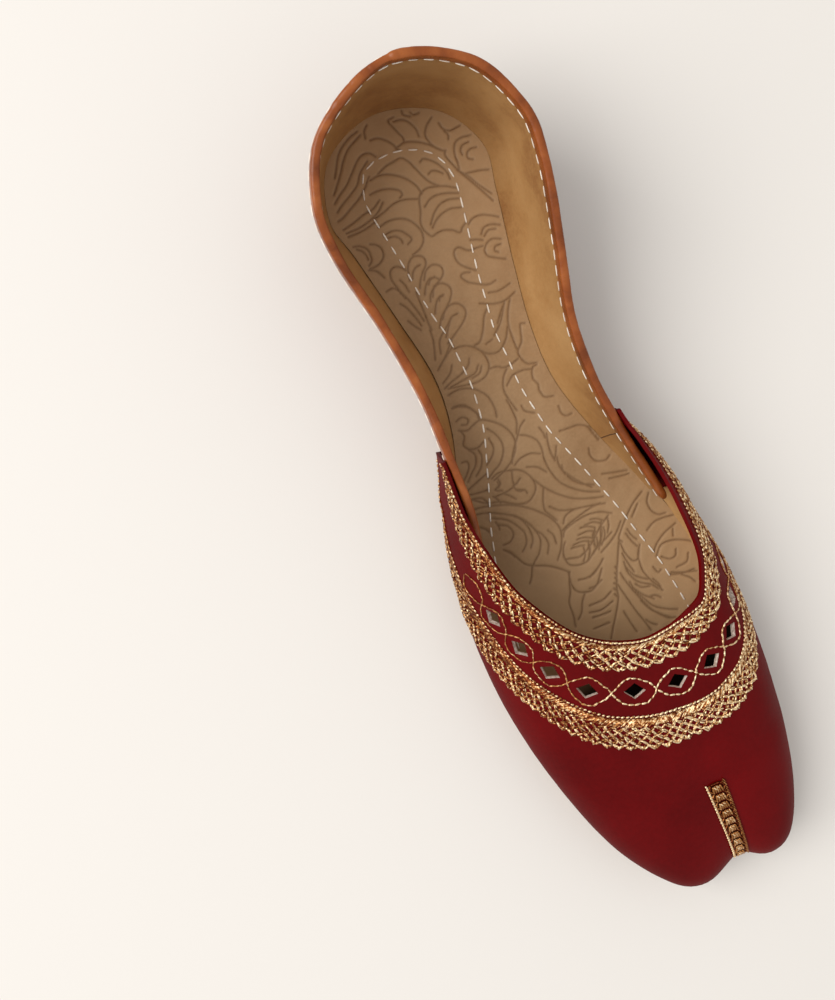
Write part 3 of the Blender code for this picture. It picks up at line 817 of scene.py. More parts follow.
def wingPulls(rows, distances):
    # How far the wings are drawn in.
    pull = tableAt(wingPull, rows) * tableAt(pullShares, distances)
    fromEnd = np.minimum(rows, len(vampRows) - 1 - rows)
    last = endPull["depth"] * smoothStep(1 - fromEnd / endPull["rows"])
    return pull + last * tableAt(endPullShares, distances)


def creaseDepths(sideways, distances):
    # Each crease has a low ridge beside it.
    total = 0.0
    for row, distance, turn, length, width, depth in vampCreases:
        turn = math.radians(turn)
        x = sideways - np.interp(row, middleRows, middleLengths)
        y = distances - distance
        along = x * math.cos(turn) + y * math.sin(turn)
        across = y * math.cos(turn) - x * math.sin(turn) + vamp["creaseWander"] * np.sin(along * 260)
        trough = np.exp(-(across / width) ** 2) - 0.55 * np.exp(-((across - 1.6 * width) / width) ** 2)
        total = total + depth * trough * np.exp(-(along / (0.5 * length)) ** 2)
    return total


def lipDepths(sideways, distances):
    # Dips along the sides of the diamond holes.
    gap = np.full(np.broadcast(sideways, distances).shape, 1.0)
    for middle, (_, distance) in zip(holeSideways, holes):
        diamond = np.abs(sideways - middle) / (0.5 * vamp["holeLength"])
        diamond = diamond + np.abs(distances - distance) / (0.5 * vamp["holeWidth"])
        gap = np.minimum(gap, np.abs(diamond - 1.0))
    return vamp["lipDepth"] * np.exp(-(gap / vamp["lipSpread"]) ** 2)


def vampRelief(rows, distances):
    # How far the leather stands out from the plain form: folded edge, creases, pleats and dips at the cuts.
    rows = np.asarray(rows, dtype=float)
    distances = np.asarray(distances, dtype=float)
    sideways = np.interp(rows, middleRows, middleLengths)
    turned = np.interp(rows, (6.0, 8.5), (vamp["turnedInner"], vamp["turnedFront"]))
    height = vamp["turnedRise"] * np.exp(-((distances - 0.4 * turned) / turned) ** 2)
    beside = (distances - 1.5 * turned) / vamp["foldGrooveWidth"]
    height = height - vamp["foldGroove"] * np.exp(-beside ** 2)
    height = height - wingPulls(rows, distances) - creaseDepths(sideways, distances)
    puckers = np.sin(sideways * 520 + 1.7 * np.sin(sideways * 90))
    near = np.exp(-((distances - vamp["puckerAt"]) / vamp["puckerSpread"]) ** 2)
    height = height + vamp["puckerDepth"] * puckers * near
    below = np.clip((distances - (vampFull(rows) - vamp["pleatReach"])) / vamp["pleatReach"], 0, 1)
    toeward = np.exp(-((rows - vampToeRow) / vamp["pleatRows"]) ** 2)
    pleats = np.cos(sideways * 1500 + 2.0 * np.sin(sideways * 240))
    height = height - vamp["pleatDepth"] * toeward * below * (1 - below) * 4 * np.clip(pleats, 0, 1)
    return height - lipDepths(sideways, distances)


def onVamp(rows, distances, lift=0.0):
    # Points of the dressed vamp face, lifted off the leather.
    outward = vampFrame(rows, distances)[2]
    raised = vampRelief(rows, distances) + lift
    return vampAt(rows, distances) + outward * raised[..., None]


def evenRows(count):
    # Rows of the vamp at even steps of length round the shoe.
    rows, lengths = throatLine(vamp["spacingLine"])
    return np.interp(np.linspace(lengths[0], lengths[-1], count), lengths, rows)


def makeDiamondCutter():
    # A four-sided prism through each hole, all in one mesh.
    clearSelection()
    pieces = []
    for row, distance in holes:
        here = np.array([row])
        reach = np.array([distance])
        centre = vampAt(here, reach)[0]
        side, _, outward = (direction[0] for direction in vampFrame(here, reach))
        across = np.cross(outward, side)
        bpy.ops.mesh.primitive_cone_add(vertices=4, radius1=0.5, radius2=0.5, depth=1.0)
        prism = bpy.context.object
        for vertex in prism.data.vertices:
            local = np.array(vertex.co)
            vertex.co = (
                centre
                + side * local[0] * vamp["holeLength"]
                + across * local[1] * vamp["holeWidth"]
                + outward * local[2] * vamp["cutDepth"]
            )
        pieces.append(prism)
    clearSelection()
    for prism in pieces:
        prism.select_set(True)
    bpy.context.view_layer.objects.active = pieces[0]
    bpy.ops.object.join()
    cutter = bpy.context.object
    faceOutwards(cutter)
    cutter.data.materials.append(rawEdge)
    return cutter


def cutHoles(piece, cutter):
    # The cut faces take the cutter's material.
    applyModifier(piece, "BOOLEAN", operation="DIFFERENCE", object=cutter, solver="EXACT",
                  material_mode="TRANSFER")
    smoothShade(piece, 40)


def makeVampLeather(cutter):
    rows = evenRows(vamp["rowCount"])
    shares = np.linspace(0, 1, vamp["ringCount"]) ** vamp["ringBias"]
    distances = vampFull(rows)[None, :] * shares[:, None]
    grid = np.broadcast_to(rows, distances.shape)
    leather = sheetFromPoints("vamp_leather", onVamp(grid, distances))
    applyModifier(leather, "SOLIDIFY", thickness=vamp["leather"], offset=-1.0)
    applyModifier(leather, "BEVEL", width=vamp["edgeRound"], segments=3, limit_method="ANGLE",
                  angle_limit=math.radians(60))
    leather.data.materials.append(maroonLeather)
    cutHoles(leather, cutter)
    finishPiece(leather, (), ["upper"])


def makeVampLining(cutter):
    start = vamp["liningStart"]
    rows = evenRows(vamp["rowCount"])
    rows = rows[(rows > vamp["liningRows"][0]) & (rows < vamp["liningRows"][1])]
    shares = np.linspace(0, 1, vamp["liningRings"])
    reach = vampFull(rows)[None, :] - vamp["liningShort"] - start
    distances = start + reach * shares[:, None]
    grid = np.broadcast_to(rows, distances.shape)
    inside = np.minimum(vampRelief(grid, distances), 0.0) - vamp["leather"] - vamp["liningGap"]
    back = vampAt(grid, distances) + vampFrame(grid, distances)[2] * inside[..., None]
    sheet = sheetFromPoints("vamp_lining", back)
    applyModifier(sheet, "SOLIDIFY", thickness=vamp["lining"], offset=-1.0)
    sheet.data.materials.append(liningLeather)
    cutHoles(sheet, cutter)
    finishPiece(sheet, (), ["upper"])


diamondCutter = makeDiamondCutter()
makeVampLeather(diamondCutter)
makeVampLining(diamondCutter)
bpy.data.objects.remove(diamondCutter, do_unlink=True)
print("vamp made")


quarter = {
    "leather": 0.0009,
    "lining": 0.0004,
    "layerGap": 0.00003,
    "columns": 320,
    "rings": 34,
    "nearRow": 0.03,           # the steps over which a direction is measured
    "nearShare": 0.02,
}

# Soft dents of the quarter: (collar row, share of height, spread in rows, spread in share, depth)
quarterDents = (
    (5.6, 0.62, 0.5, 0.30, 0.0006),
    (6.6, 0.80, 0.35, 0.25, -0.0004),
    (9.5, 0.55, 0.5, 0.30, 0.0004),
    (11.3, 0.70, 0.7, 0.35, 0.0005),
    (3.2, 0.55, 0.8, 0.35, 0.0004),
    (13.6, 0.50, 0.8, 0.35, 0.0004),
    (8.0, 0.20, 1.4, 0.14, 0.0005),
)


def quarterDirections(rows, shares):
    ends = len(collarRows) - 1
    rows = np.clip(rows, 0, ends)
    aside, above = quarter["nearRow"], quarter["nearShare"]
    right = quarterSheet(np.minimum(rows + aside, ends), shares)
    side = right - quarterSheet(np.maximum(rows - aside, 0), shares)
    higher = quarterSheet(rows, np.minimum(shares + above, 1))
    rise = higher - quarterSheet(rows, np.maximum(shares - above, 0))
    return unit(np.cross(rise, side))


def quarterRelief(rows, shares):
    height = np.zeros((len(rows), len(shares)))
    for row, share, rowSpread, shareSpread, depth in quarterDents:
        fade = np.exp(-((rows[:, None] - row) / rowSpread) ** 2)
        height = height - depth * fade * np.exp(-((shares[None, :] - share) / shareSpread) ** 2)
    return height * np.clip((1 - shares[None, :]) * 4, 0, 1) * np.clip(shares[None, :] * 6, 0, 1)


def quarterLayer(name, depth, thickness):
    rows = np.linspace(0, len(collarRows) - 1, quarter["columns"])
    shares = np.linspace(0, 1, quarter["rings"])
    points = quarterSheet(rows, shares)
    outward = quarterDirections(rows, shares)
    points = points + outward * (quarterRelief(rows, shares) - depth)[..., None]
    sheet = sheetFromPoints(name, points)
    applyModifier(sheet, "SOLIDIFY", thickness=thickness, offset=-1.0)
    smoothShade(sheet, 40)
    return sheet


quarterLeather = quarterLayer("quarter_leather", 0.0, quarter["leather"])
finishPiece(quarterLeather, [maroonLeather], ["upper"])
liningDepth = quarter["leather"] + quarter["layerGap"]
quarterLining = quarterLayer("quarter_lining", liningDepth, quarter["lining"] - quarter["layerGap"])
finishPiece(quarterLining, [liningLeather], ["upper"])


# The dark seam across the lining at the inner side, where its two parts meet
liningSeam = {
    "row": 15.08,
    "slant": 0.03,
    "shares": (0.06, 0.90),
    "threads": 16,
    "width": 0.00042,
    "height": 0.00030,
    "tone": 0.1,
}


def makeLiningSeam(threadShape):
    count = liningSeam["threads"]
    shares = np.linspace(*liningSeam["shares"], count)
    rows = liningSeam["row"] + liningSeam["slant"] * shares
    spots = [(rows[k:k + 1], shares[k:k + 1]) for k in range(count)]
    places = np.array([quarterSheet(*spot)[0, 0] for spot in spots])
    outward = np.array([quarterDirections(*spot)[0, 0] for spot in spots])
    places = places - outward * (quarter["leather"] + quarter["lining"])
    along = unit(np.gradient(places, axis=0))
    length = np.linalg.norm(places[1] - places[0]) * 0.9
    sizes = np.tile((length, liningSeam["width"], liningSeam["height"]), (count, 1))
    tones = np.full(count, liningSeam["tone"])
    seam = layCopies("quarter_lining_seam", threadShape, places, along, -outward, sizes, tones)
    smoothShade(seam, 80)
    finishPiece(seam, [darkThread])


roundThread = makeThreadShape(8, 6)
flatThread = makeThreadShape(6, 4)
makeLiningSeam(flatThread)
print("quarter made")


binding = {
    "thickness": 0.00055,
    "wall": 0.0013,            # leather and lining between its two sides
    "depth": 0.0042,
    "swell": 0.00016,          # the folded strip is slightly padded
    "drawnIn": 0.00028,        # its lower fifth is drawn in by the stitches
    "columns": 900,
    "sidePoints": 8,
    "foldPoints": 11,
    "endRows": 0.10,           # how many rows the strip runs on past the quarter's ends
    "endRound": 0.0030,        # length over which its ends are rounded
    "endLoss": (0.92, 0.75),   # how much of its width and depth an end loses
    "endMiddle": 0.0018,
    "wrinkles": 260,
    "wrinkleDepth": 0.000112,
    "wrinkleWidth": (0.0004, 0.0012),
    "wrinkleSlant": 0.0015,
    "waveDepth": 0.00008,
    "stitchLength": 0.0030,
    "stitchGap": 0.0013,
    "stitchWidth": 0.00050,
    "stitchRise": 0.0007,      # from the strip's lower edge
}

# Where the strip is folded in deeper: (collar row, depth, width)
bindingKinks = (
    (7.98, 0.00030, 0.0026), (8.06, 0.00010, 0.0006), (7.25, 0.00012, 0.0009), (6.65, 0.00012, 0.0009),
)
# Tight bends wrinkle more: (collar row, spread in rows, share)
bindingBends = ((8.0, 0.35, 0.9), (6.9, 0.35, 0.6))


def stripSwell(share):
    # The strip is fullest half way down.
    return binding["swell"] * math.sin(math.pi * share) - binding["drawnIn"] * max(0.0, share - 0.8) / 0.2


def bindingSections(rows):
    # Points of the strip's outer face from its outer edge over the top to its inner edge.
    top = quarterSheet(rows, np.array([1.0]))[:, 0]
    below = quarterSheet(rows, np.array([0.9]))[:, 0]
    down = unit(below - top)
    out = quarterDirections(rows, np.array([0.95]))[:, 0]
    out = unit(out - down * np.sum(out * down, axis=1, keepdims=True))
    far = binding["thickness"]
    wall = binding["wall"]
    shares = np.linspace(0, 1, binding["sidePoints"] + 1)[1:]
    points = []
    for share in shares[::-1]:
        points.append(top + down * binding["depth"] * share + out * (far + stripSwell(share)))
    middle = top - out * (wall / 2)
    for angle in np.linspace(0, math.pi, binding["foldPoints"]):
        fold = out * (wall / 2 + far) * math.cos(angle) - down * (far + 0.0001) * math.sin(angle)
        points.append(middle + fold)
    for share in shares:
        points.append(top + down * binding["depth"] * share - out * (wall + far + stripSwell(share)))
    return np.stack(points, axis=1), out, down, top


def collarLength(rows):
    return chainLengths(quarterSheet(rows, np.array([1.0]))[:, 0])


def roundEnds(points, out, down, top, run):
    # The strip's ends narrow to a rounded tongue.
    widthLoss, depthLoss = binding["endLoss"]
    fromEnd = np.clip(np.minimum(run, run[-1] - run) / binding["endRound"], 0, 1)
    narrow = np.sqrt(1 - (1 - fromEnd) ** 2)[:, None] - 1
    core = top - out * (0.5 * binding["wall"])
    local = points - core[:, None, :]
    sideways = np.sum(local * out[:, None, :], axis=2) * widthLoss * narrow
    fall = (np.sum(local * down[:, None, :], axis=2) - binding["endMiddle"]) * depthLoss * narrow
    return points + out[:, None, :] * sideways[..., None] + down[:, None, :] * fall[..., None]


def wrinkleHeights(rows, run, around):
    random = np.random.default_rng(11)
    height = np.zeros((len(run), len(around)))
    for _ in range(binding["wrinkles"]):
        centre = random.uniform(0, run[-1])
        width = random.uniform(*binding["wrinkleWidth"])
        slant = random.uniform(-binding["wrinkleSlant"], binding["wrinkleSlant"])
        band = random.uniform(0.2, 0.9)
        reach = random.uniform(0.10, 0.30)
        depth = random.uniform(0.3, 1.0) * binding["wrinkleDepth"]
        line = run[:, None] - centre - slant * (around[None, :] - band)
        height -= depth * np.exp(-(line / width) ** 2) * np.exp(-((around[None, :] - band) / reach) ** 2)
    tight = 0.35 + sum(share * np.exp(-((rows - row) / spread) ** 2) for row, spread, share in bindingBends)
    return height * tight[:, None]


def makeBinding():
    fine = np.linspace(-binding["endRows"], len(collarRows) - 1 + binding["endRows"], 2001)
    lengths = collarLength(fine)
    rows = np.interp(np.linspace(0, lengths[-1], binding["columns"]), lengths, fine)
    run = np.interp(rows, fine, lengths)
    points, out, down, top = bindingSections(rows)
    points = roundEnds(points, out, down, top, run)
    around = np.linspace(0, 1, points.shape[1])
    height = wrinkleHeights(rows, run, around)
    height += binding["waveDepth"] * np.sin(run * 310)[:, None] * np.sin(math.pi * around)[None, :]
    for row, depth, width in bindingKinks:
        line = run[:, None] - np.interp(row, fine, lengths) - 0.0012 * (around[None, :] - 0.5)
        height -= depth * (np.exp(-(line / width) ** 2) - 0.5 * np.exp(-((line - 1.8 * width) / width) ** 2))
    foldStart = binding["sidePoints"]
    middle = points[:, foldStart:foldStart + binding["foldPoints"]].mean(axis=1)
    outward = unit(points - (middle + down * 0.0012)[:, None, :])
    strip = sheetFromPoints("collar_binding_strip", points + outward * height[..., None])
    applyModifier(strip, "SOLIDIFY", thickness=binding["thickness"] - 0.00005, offset=-1.0)
    smoothShade(strip, 60)
    finishPiece(strip, [tanLeather], ["collar_binding"])


def makeBindingStitches(threadShape):
    ends = len(collarRows) - 1
    fine = np.linspace(0, ends, 2001)
    lengths = collarLength(fine)
    pitch = binding["stitchLength"] + binding["stitchGap"]
    rows = np.interp(np.arange(0.5 * pitch, lengths[-1], pitch), lengths, fine)
    _, out, down, top = bindingSections(rows)
    ahead = quarterSheet(np.minimum(rows + 0.02, ends), np.array([1.0]))[:, 0]
    behind = quarterSheet(np.maximum(rows - 0.02, 0), np.array([1.0]))[:, 0]
    heading = unit(ahead - behind)
    share = 1 - binding["stitchRise"] / binding["depth"]
    line = top + down * binding["depth"] * share
    far = binding["thickness"] + stripSwell(share) + 0.00005
    random = np.random.default_rng(5)
    places, alongs = [], []
    for place in (line + out * far, line - out * (binding["wall"] + far)):
        places.append(place + down * random.normal(0, 0.00008, (len(rows), 1)))
        alongs.append(unit(heading + down * random.normal(0.03, 0.04, (len(rows), 1))))
    count = 2 * len(rows)
    sizes = np.column_stack((
        binding["stitchLength"] * random.uniform(0.9, 1.05, count),
        np.full(count, binding["stitchWidth"]),
        np.full(count, binding["stitchWidth"] * 0.9),
    ))
    stitches = layCopies("collar_stitches", threadShape, np.vstack(places), np.vstack(alongs),
                         np.vstack((out, -out)), sizes, random.uniform(0.3, 1.0, count))
    smoothShade(stitches, 80)
    finishPiece(stitches, [whiteThread])


makeBinding()
makeBindingStitches(roundThread)
print("collar binding made")


def layThreads(name, shape, threads, toPlace, material, nodes=()):
    # Threads between pairs of points on the vamp: (x, share, x, share, width, height, tone) in columns.
    # toPlace turns a length round the shoe and a share into a row and a distance from the throat edge.
    firstX, firstShare, secondX, secondShare, width, height, tone = (
        np.concatenate([np.broadcast_to(group[k], np.shape(group[0])) for group in threads]) for k in range(7)
    )
    firstRow, firstDistance = toPlace(firstX, firstShare)
    secondRow, secondDistance = toPlace(secondX, secondShare)
    ends = np.stack((firstRow, secondRow))
    keep = (ends.min(axis=0) > 0.10) & (ends.max(axis=0) < len(vampRows) - 1.10)
    keep &= np.maximum(firstDistance, secondDistance) < vampFull(firstRow) - 0.003
    firstRow, secondRow, firstDistance, secondDistance, width, height, tone = (
        column[keep] for column in (firstRow, secondRow, firstDistance, secondDistance, width, height, tone)
    )
    lift = 0.22 * height
    first = onVamp(firstRow, firstDistance, lift)
    second = onVamp(secondRow, secondDistance, lift)
    outward = vampFrame(0.5 * (firstRow + secondRow), 0.5 * (firstDistance + secondDistance))[2]
    length = np.linalg.norm(second - first, axis=1)
    sizes = np.column_stack((length, width, height))
    piece = layCopies(name, shape, 0.5 * (first + second), unit(second - first), outward, sizes, tone)
    smoothShade(piece, 80)
    finishPiece(piece, [material], nodes)
    print(name, len(length), "threads")


def bandPlacer(path, line):
    # Lengths are measured along one line of the band and shares across it.
    rows, lengths = throatLine(line)

    def toPlace(x, share):
        row = np.interp(x, lengths, rows)
        start = tableAt(path, row)
        end = tableAt(path, row, 2)
        return row, np.maximum(start + (end - start) * share, 0.0001)

    return toPlace, lengths[0], lengths[-1]


# Painted light and shade on the thread round the shoe: (length from the toe's centre line, tone); the front
# is painted bright and the wings dark, darkest at the outer side, and the same for the satin stitches
paintedThreadLight = (
    (-0.060, 0.26), (-0.040, 0.36), (-0.022, 0.58), (0.000, 0.70), (0.014, 0.60), (0.032, 0.26),
    (0.070, 0.14),
)
paintedSatinLight = (
    (-0.060, 0.20), (-0.040, 0.30), (-0.020, 0.60), (0.000, 0.48), (0.018, 0.34), (0.036, 0.10),
    (0.070, 0.06),
)
# How much brighter the stitches that lean one way are painted than those that lean the other way: painted
# highlight on one slant, painted shade on the other
paintedLeanLight = ((-0.060, 0.18), (0.000, 0.18), (0.018, 0.24), (0.036, 0.32), (0.070, 0.30))


innerBand = {
    "line": 0.0048,
    "width": 0.0084,
    "dotPitch": 0.00145,
    "satin": (0.09, 0.29),
    "lattice": (0.31, 1.0),
    "cellLength": 0.00375,
    "cellRows": 4,
    "threadWidth": 0.00062,
    "laneGap": 0.00052,
    "jitter": 0.00019,
}

outerBand = {
    "line": 0.0270,
    "width": 0.0100,
    "dotPitch": 0.00150,
    "satin": (0.05, 0.33),
    "lattice": (0.34, 1.0),
    "cellLength": 0.0031,
    "cellRows": 5,
    "threadWidth": 0.00054,
    "laneGap": 0.00046,
    "jitter": 0.00017,
}


# Stitches that both bands share: half lengths are reaches, and a size is a width and a height
bandStitches = {
    "dotReach": 0.0008,
    "dotSize": (0.00034, 0.00030),
    "beadReach": (0.00054, 0.00078),    # the longer ones lie round the toe's centre line
    "beadWidth": (0.00064, 0.00080),
    "beadHeight": 0.00070,
    "satinPitch": 0.00046,
    "satinLean": 0.0016,
    "satinWidth": (0.00036, 0.00060),
    "satinHeight": (0.00026, 0.00050),
    "crossHeight": (0.00042, 0.00080),
    "knotReach": 0.00050,
    "knotSize": (0.00066, 0.00085),
    "tipWidth": (0.00058, 0.00080),
    "tipHeight": 0.00080,
}
# The three stitches of a tip: (sideways, start and end across the band)
tipStitches = ((0.0, 0.90, 1.03), (-0.00048, 0.88, 0.99), (0.00048, 0.88, 0.99))


def bandEdge(band, random, low, high):
    # A dotted line and a row of beaded stitches along the upper edge, then slanted satin stitches.
    dots = np.arange(low, high, band["dotPitch"])
    count = len(dots)
    # dots, beads and satin take the light and shade painted round the shoe, plus random tone
    tones = np.clip(tableAt(paintedThreadLight, dots) - 0.40 + random.normal(0, 0.05, count), 0, 1)
    reach = bandStitches["dotReach"]
    dotted = (dots - reach, 0.005, dots + reach, 0.005, *bandStitches["dotSize"], tones)
    short, long = bandStitches["beadReach"]
    reach = np.where(np.abs(dots - 0.004) < 0.013, long, short) * random.uniform(0.9, 1.1, count)
    slant = 0.02 * random.normal(1.0, 0.3, count)
    width = random.uniform(*bandStitches["beadWidth"], count)
    tones = np.clip(tableAt(paintedThreadLight, dots) + random.uniform(0.20, 0.50, count), 0, 1)
    beads = (dots - reach, -slant, dots + reach, slant, width, bandStitches["beadHeight"], tones)
    start, end = band["satin"]
    x = np.arange(low, high, bandStitches["satinPitch"])
    count = len(x)
    lean = bandStitches["satinLean"] + 0.0003 * np.sin(x * 700)
    tones = tableAt(paintedSatinLight, x) + random.choice((-0.16, 0.0, 0.30), count, p=(0.4, 0.4, 0.2))
    ends = end + random.normal(0, 0.020, count)
    width = random.uniform(*bandStitches["satinWidth"], count)
    height = random.uniform(*bandStitches["satinHeight"], count)
    satin = (x - lean, start, x + lean, ends, width, height, np.clip(tones, 0, 1))
    return [dotted, beads, satin]


def bandThreads(band, seed, low, high):
    # The edge, and a lattice of crossed stitches that ends in bright tips.
    random = np.random.default_rng(seed)
    threads = bandEdge(band, random, low, high)

    def jitter(count):
        return random.normal(0, band["jitter"], count)

    # painted light and shade round the shoe, plus random tone
    def tones(x, shift, spread):
        return np.clip(tableAt(paintedThreadLight, x) + shift + random.normal(0, spread, len(x)), 0, 1)

    latticeStart, latticeEnd = band["lattice"]
    rowShare = (latticeEnd - latticeStart) / band["cellRows"]
    half = 0.5 * band["cellLength"]
    slope = math.atan2(rowShare * band["width"], half)
    columns = np.arange(math.floor(low / half), math.ceil(high / half) + 1)
    for level in range(band["cellRows"]):
        nodes = columns[(columns + level) % 2 == 0] * half
        count = len(nodes)
        upper = latticeStart + rowShare * level
        for lean in (1, -1):
            for lane in (-0.5, 0.5):
                shiftX = -lean * lane * band["laneGap"] * math.sin(slope)
                shiftShare = lane * band["laneGap"] * math.cos(slope) / band["width"]
                start = random.uniform(0.0, 0.16, count)
                end = random.uniform(0.84, 1.04, count)
                # painted highlight on the stitches of one slant, painted shade on the other
                side = -lean * tableAt(paintedLeanLight, nodes)
                threads.append((
                    nodes + lean * half * start + shiftX + jitter(count),
                    upper + rowShare * start + shiftShare + jitter(count) / band["width"],
                    nodes + lean * half * end + shiftX + jitter(count),
                    upper + rowShare * end + shiftShare + jitter(count) / band["width"],
                    band["threadWidth"] * random.uniform(0.75, 1.25, count),
                    random.uniform(*bandStitches["crossHeight"], count),
                    np.clip(tones(nodes, 0.0, 0.20) + side, 0, 1),
                ))
        knots = nodes + jitter(count)
        reach = bandStitches["knotReach"]
        threads.append((knots - reach, upper, knots + reach, upper + 0.01, *bandStitches["knotSize"],
                        tones(knots, 0.24, 0.16)))
    tips = columns[(columns + band["cellRows"]) % 2 == 0] * half
    for shift, start, end in tipStitches:
        x = tips + jitter(len(tips))
        width = random.uniform(*bandStitches["tipWidth"], len(tips))
        threads.append((x + 1.3 * shift, start, x + 0.5 * shift, end, width, bandStitches["tipHeight"],
                        tones(tips, 0.24, 0.14)))
    return threads


def makeBands():
    for name, node, band, path, seed in (
        ("embroidery_inner_threads", "embroidery_inner", innerBand, innerBandPath, 21),
        ("embroidery_outer_threads", "embroidery_outer", outerBand, outerBandPath, 22),
    ):
        toPlace, low, high = bandPlacer(path, band["line"])
        threads = bandThreads(band, seed, low, high)
        layThreads(name, flatThread, threads, toPlace, goldThread, [node])


twinedCords = {
    "dashPitch": 0.00185,
    "dashLength": 0.00168,
    "dashWidth": 0.00062,
    "dashHeight": 0.00060,
    "dashTwist": 0.00012,
    "corePitch": 0.0010,
    "coreReach": 0.0006,
    "coreSize": (0.00030, 0.00036),
    "bareOval": 0.0106,        # length of the last oval at each side, which has no hole
    "bareDistance": 0.0140,
}

# How far the cords swing from their middle line: (length from the toe's centre line, swing)
cordSwing = (
    (-0.050, 0.0033), (-0.020, 0.0037), (0.000, 0.0042), (0.028, 0.0042), (0.040, 0.0035), (0.070, 0.0032),
)


def makeTwinedCords():
    # Two cords that cross between the holes and part round each of them.
    random = np.random.default_rng(31)
    order = np.argsort(holeSideways)
    step = twinedCords["bareOval"]
    crossings = [holeSideways[k] for k in order]
    first, last = crossings[0], crossings[-1]
    crossings = [first - 2 * step, first - step, *crossings, last + step, last + 2 * step]
    bare = [twinedCords["bareDistance"]] * 2
    distances = bare + [holes[k][1] for k in order] + bare
    fine = np.linspace(crossings[1] - 0.5 * step, crossings[-2] + 0.5 * step, 6001)
    phase = math.pi * np.interp(fine, crossings, np.arange(len(crossings)))
    line = np.interp(fine, crossings, distances)
    swing = tableAt(cordSwing, fine)
    wave = np.sign(np.cos(phase)) * np.abs(np.cos(phase)) ** 0.8
    threads = []
    for sign in (1, -1):
        wobble = 0.00022 * np.sin(fine * 900 + sign) + 0.00014 * np.sin(fine * 2100 + 2 * sign)
        path = line + sign * swing * wave + wobble
        run = np.concatenate(([0], np.cumsum(np.hypot(np.diff(fine), np.diff(path)))))

        def endsAt(marks, reach):
            # Both ends of each stitch: length round the shoe and distance from the throat edge.
            return [np.interp(marks + way * reach, run, curve) for way in (-1, 1) for curve in (fine, path)]

        marks = np.arange(0.002, run[-1] - 0.002, twinedCords["dashPitch"])
        count = len(marks)
        marks = marks + random.normal(0, 0.00012, count)
        reach = 0.5 * twinedCords["dashLength"] * random.uniform(0.80, 1.12, count)
        firstX, firstY, secondX, secondY = endsAt(marks, reach)
        twist = random.normal(twinedCords["dashTwist"], 0.00005, count)
        x = np.interp(marks, run, fine)
        width = twinedCords["dashWidth"] * np.interp(x, (0.024, 0.040), (1.0, 0.72))
        width = width * random.uniform(0.75, 1.25, count)
        # the cords take the light and shade painted round the shoe, plus random tone
        tone = np.clip(tableAt(paintedThreadLight, x) + random.uniform(-0.12, 0.32, count), 0, 1)
        height = twinedCords["dashHeight"]
        threads.append((firstX, firstY - twist, secondX, secondY + twist, width, height, tone))
        marks = np.arange(0.001, run[-1] - 0.001, twinedCords["corePitch"])
        ends = endsAt(marks, twinedCords["coreReach"])
        threads.append((*ends, *twinedCords["coreSize"], np.full(len(marks), 0.30)))

    def toPlace(x, distance):
        return np.interp(x, middleLengths, middleRows), distance

    layThreads("twined_cords", flatThread, threads, toPlace, cordThread)


makeBands()
makeTwinedCords()
print("embroidery made")


braid = {
    "width": 0.0064,
    "length": 0.0315,
    "endRise": 0.0130,         # how far its lower end stays above the sole
    "loops": 10,
    "narrowing": 0.20,         # how much narrower its lower end is
    "edgePitch": 0.0011,
    "laneStep": 0.0014,        # between the threads of a loop
    "besideStep": 0.0022,
    "gapStep": 0.0009,
}

# Threads of the braid: length, width and height
braidThreads = {
    "underEdge": (0.0014, 0.0005, 0.0006),
    # the two bright glint threads of each loop are painted highlights
    "longPaintedGlint": (0.0013, 0.0005, 0.0007),
    "shortPaintedGlint": (0.0010, 0.0004, 0.0006),
    "beside": (0.0017, 0.0006, 0.0008),
    "gap": (0.0013, 0.0006, 0.0008),
}
# Its two edges: (side, lowest tone, width of the thread)
braidEdges = ((-1, 0.80, 0.00070), (1, 0.35, 0.00040))


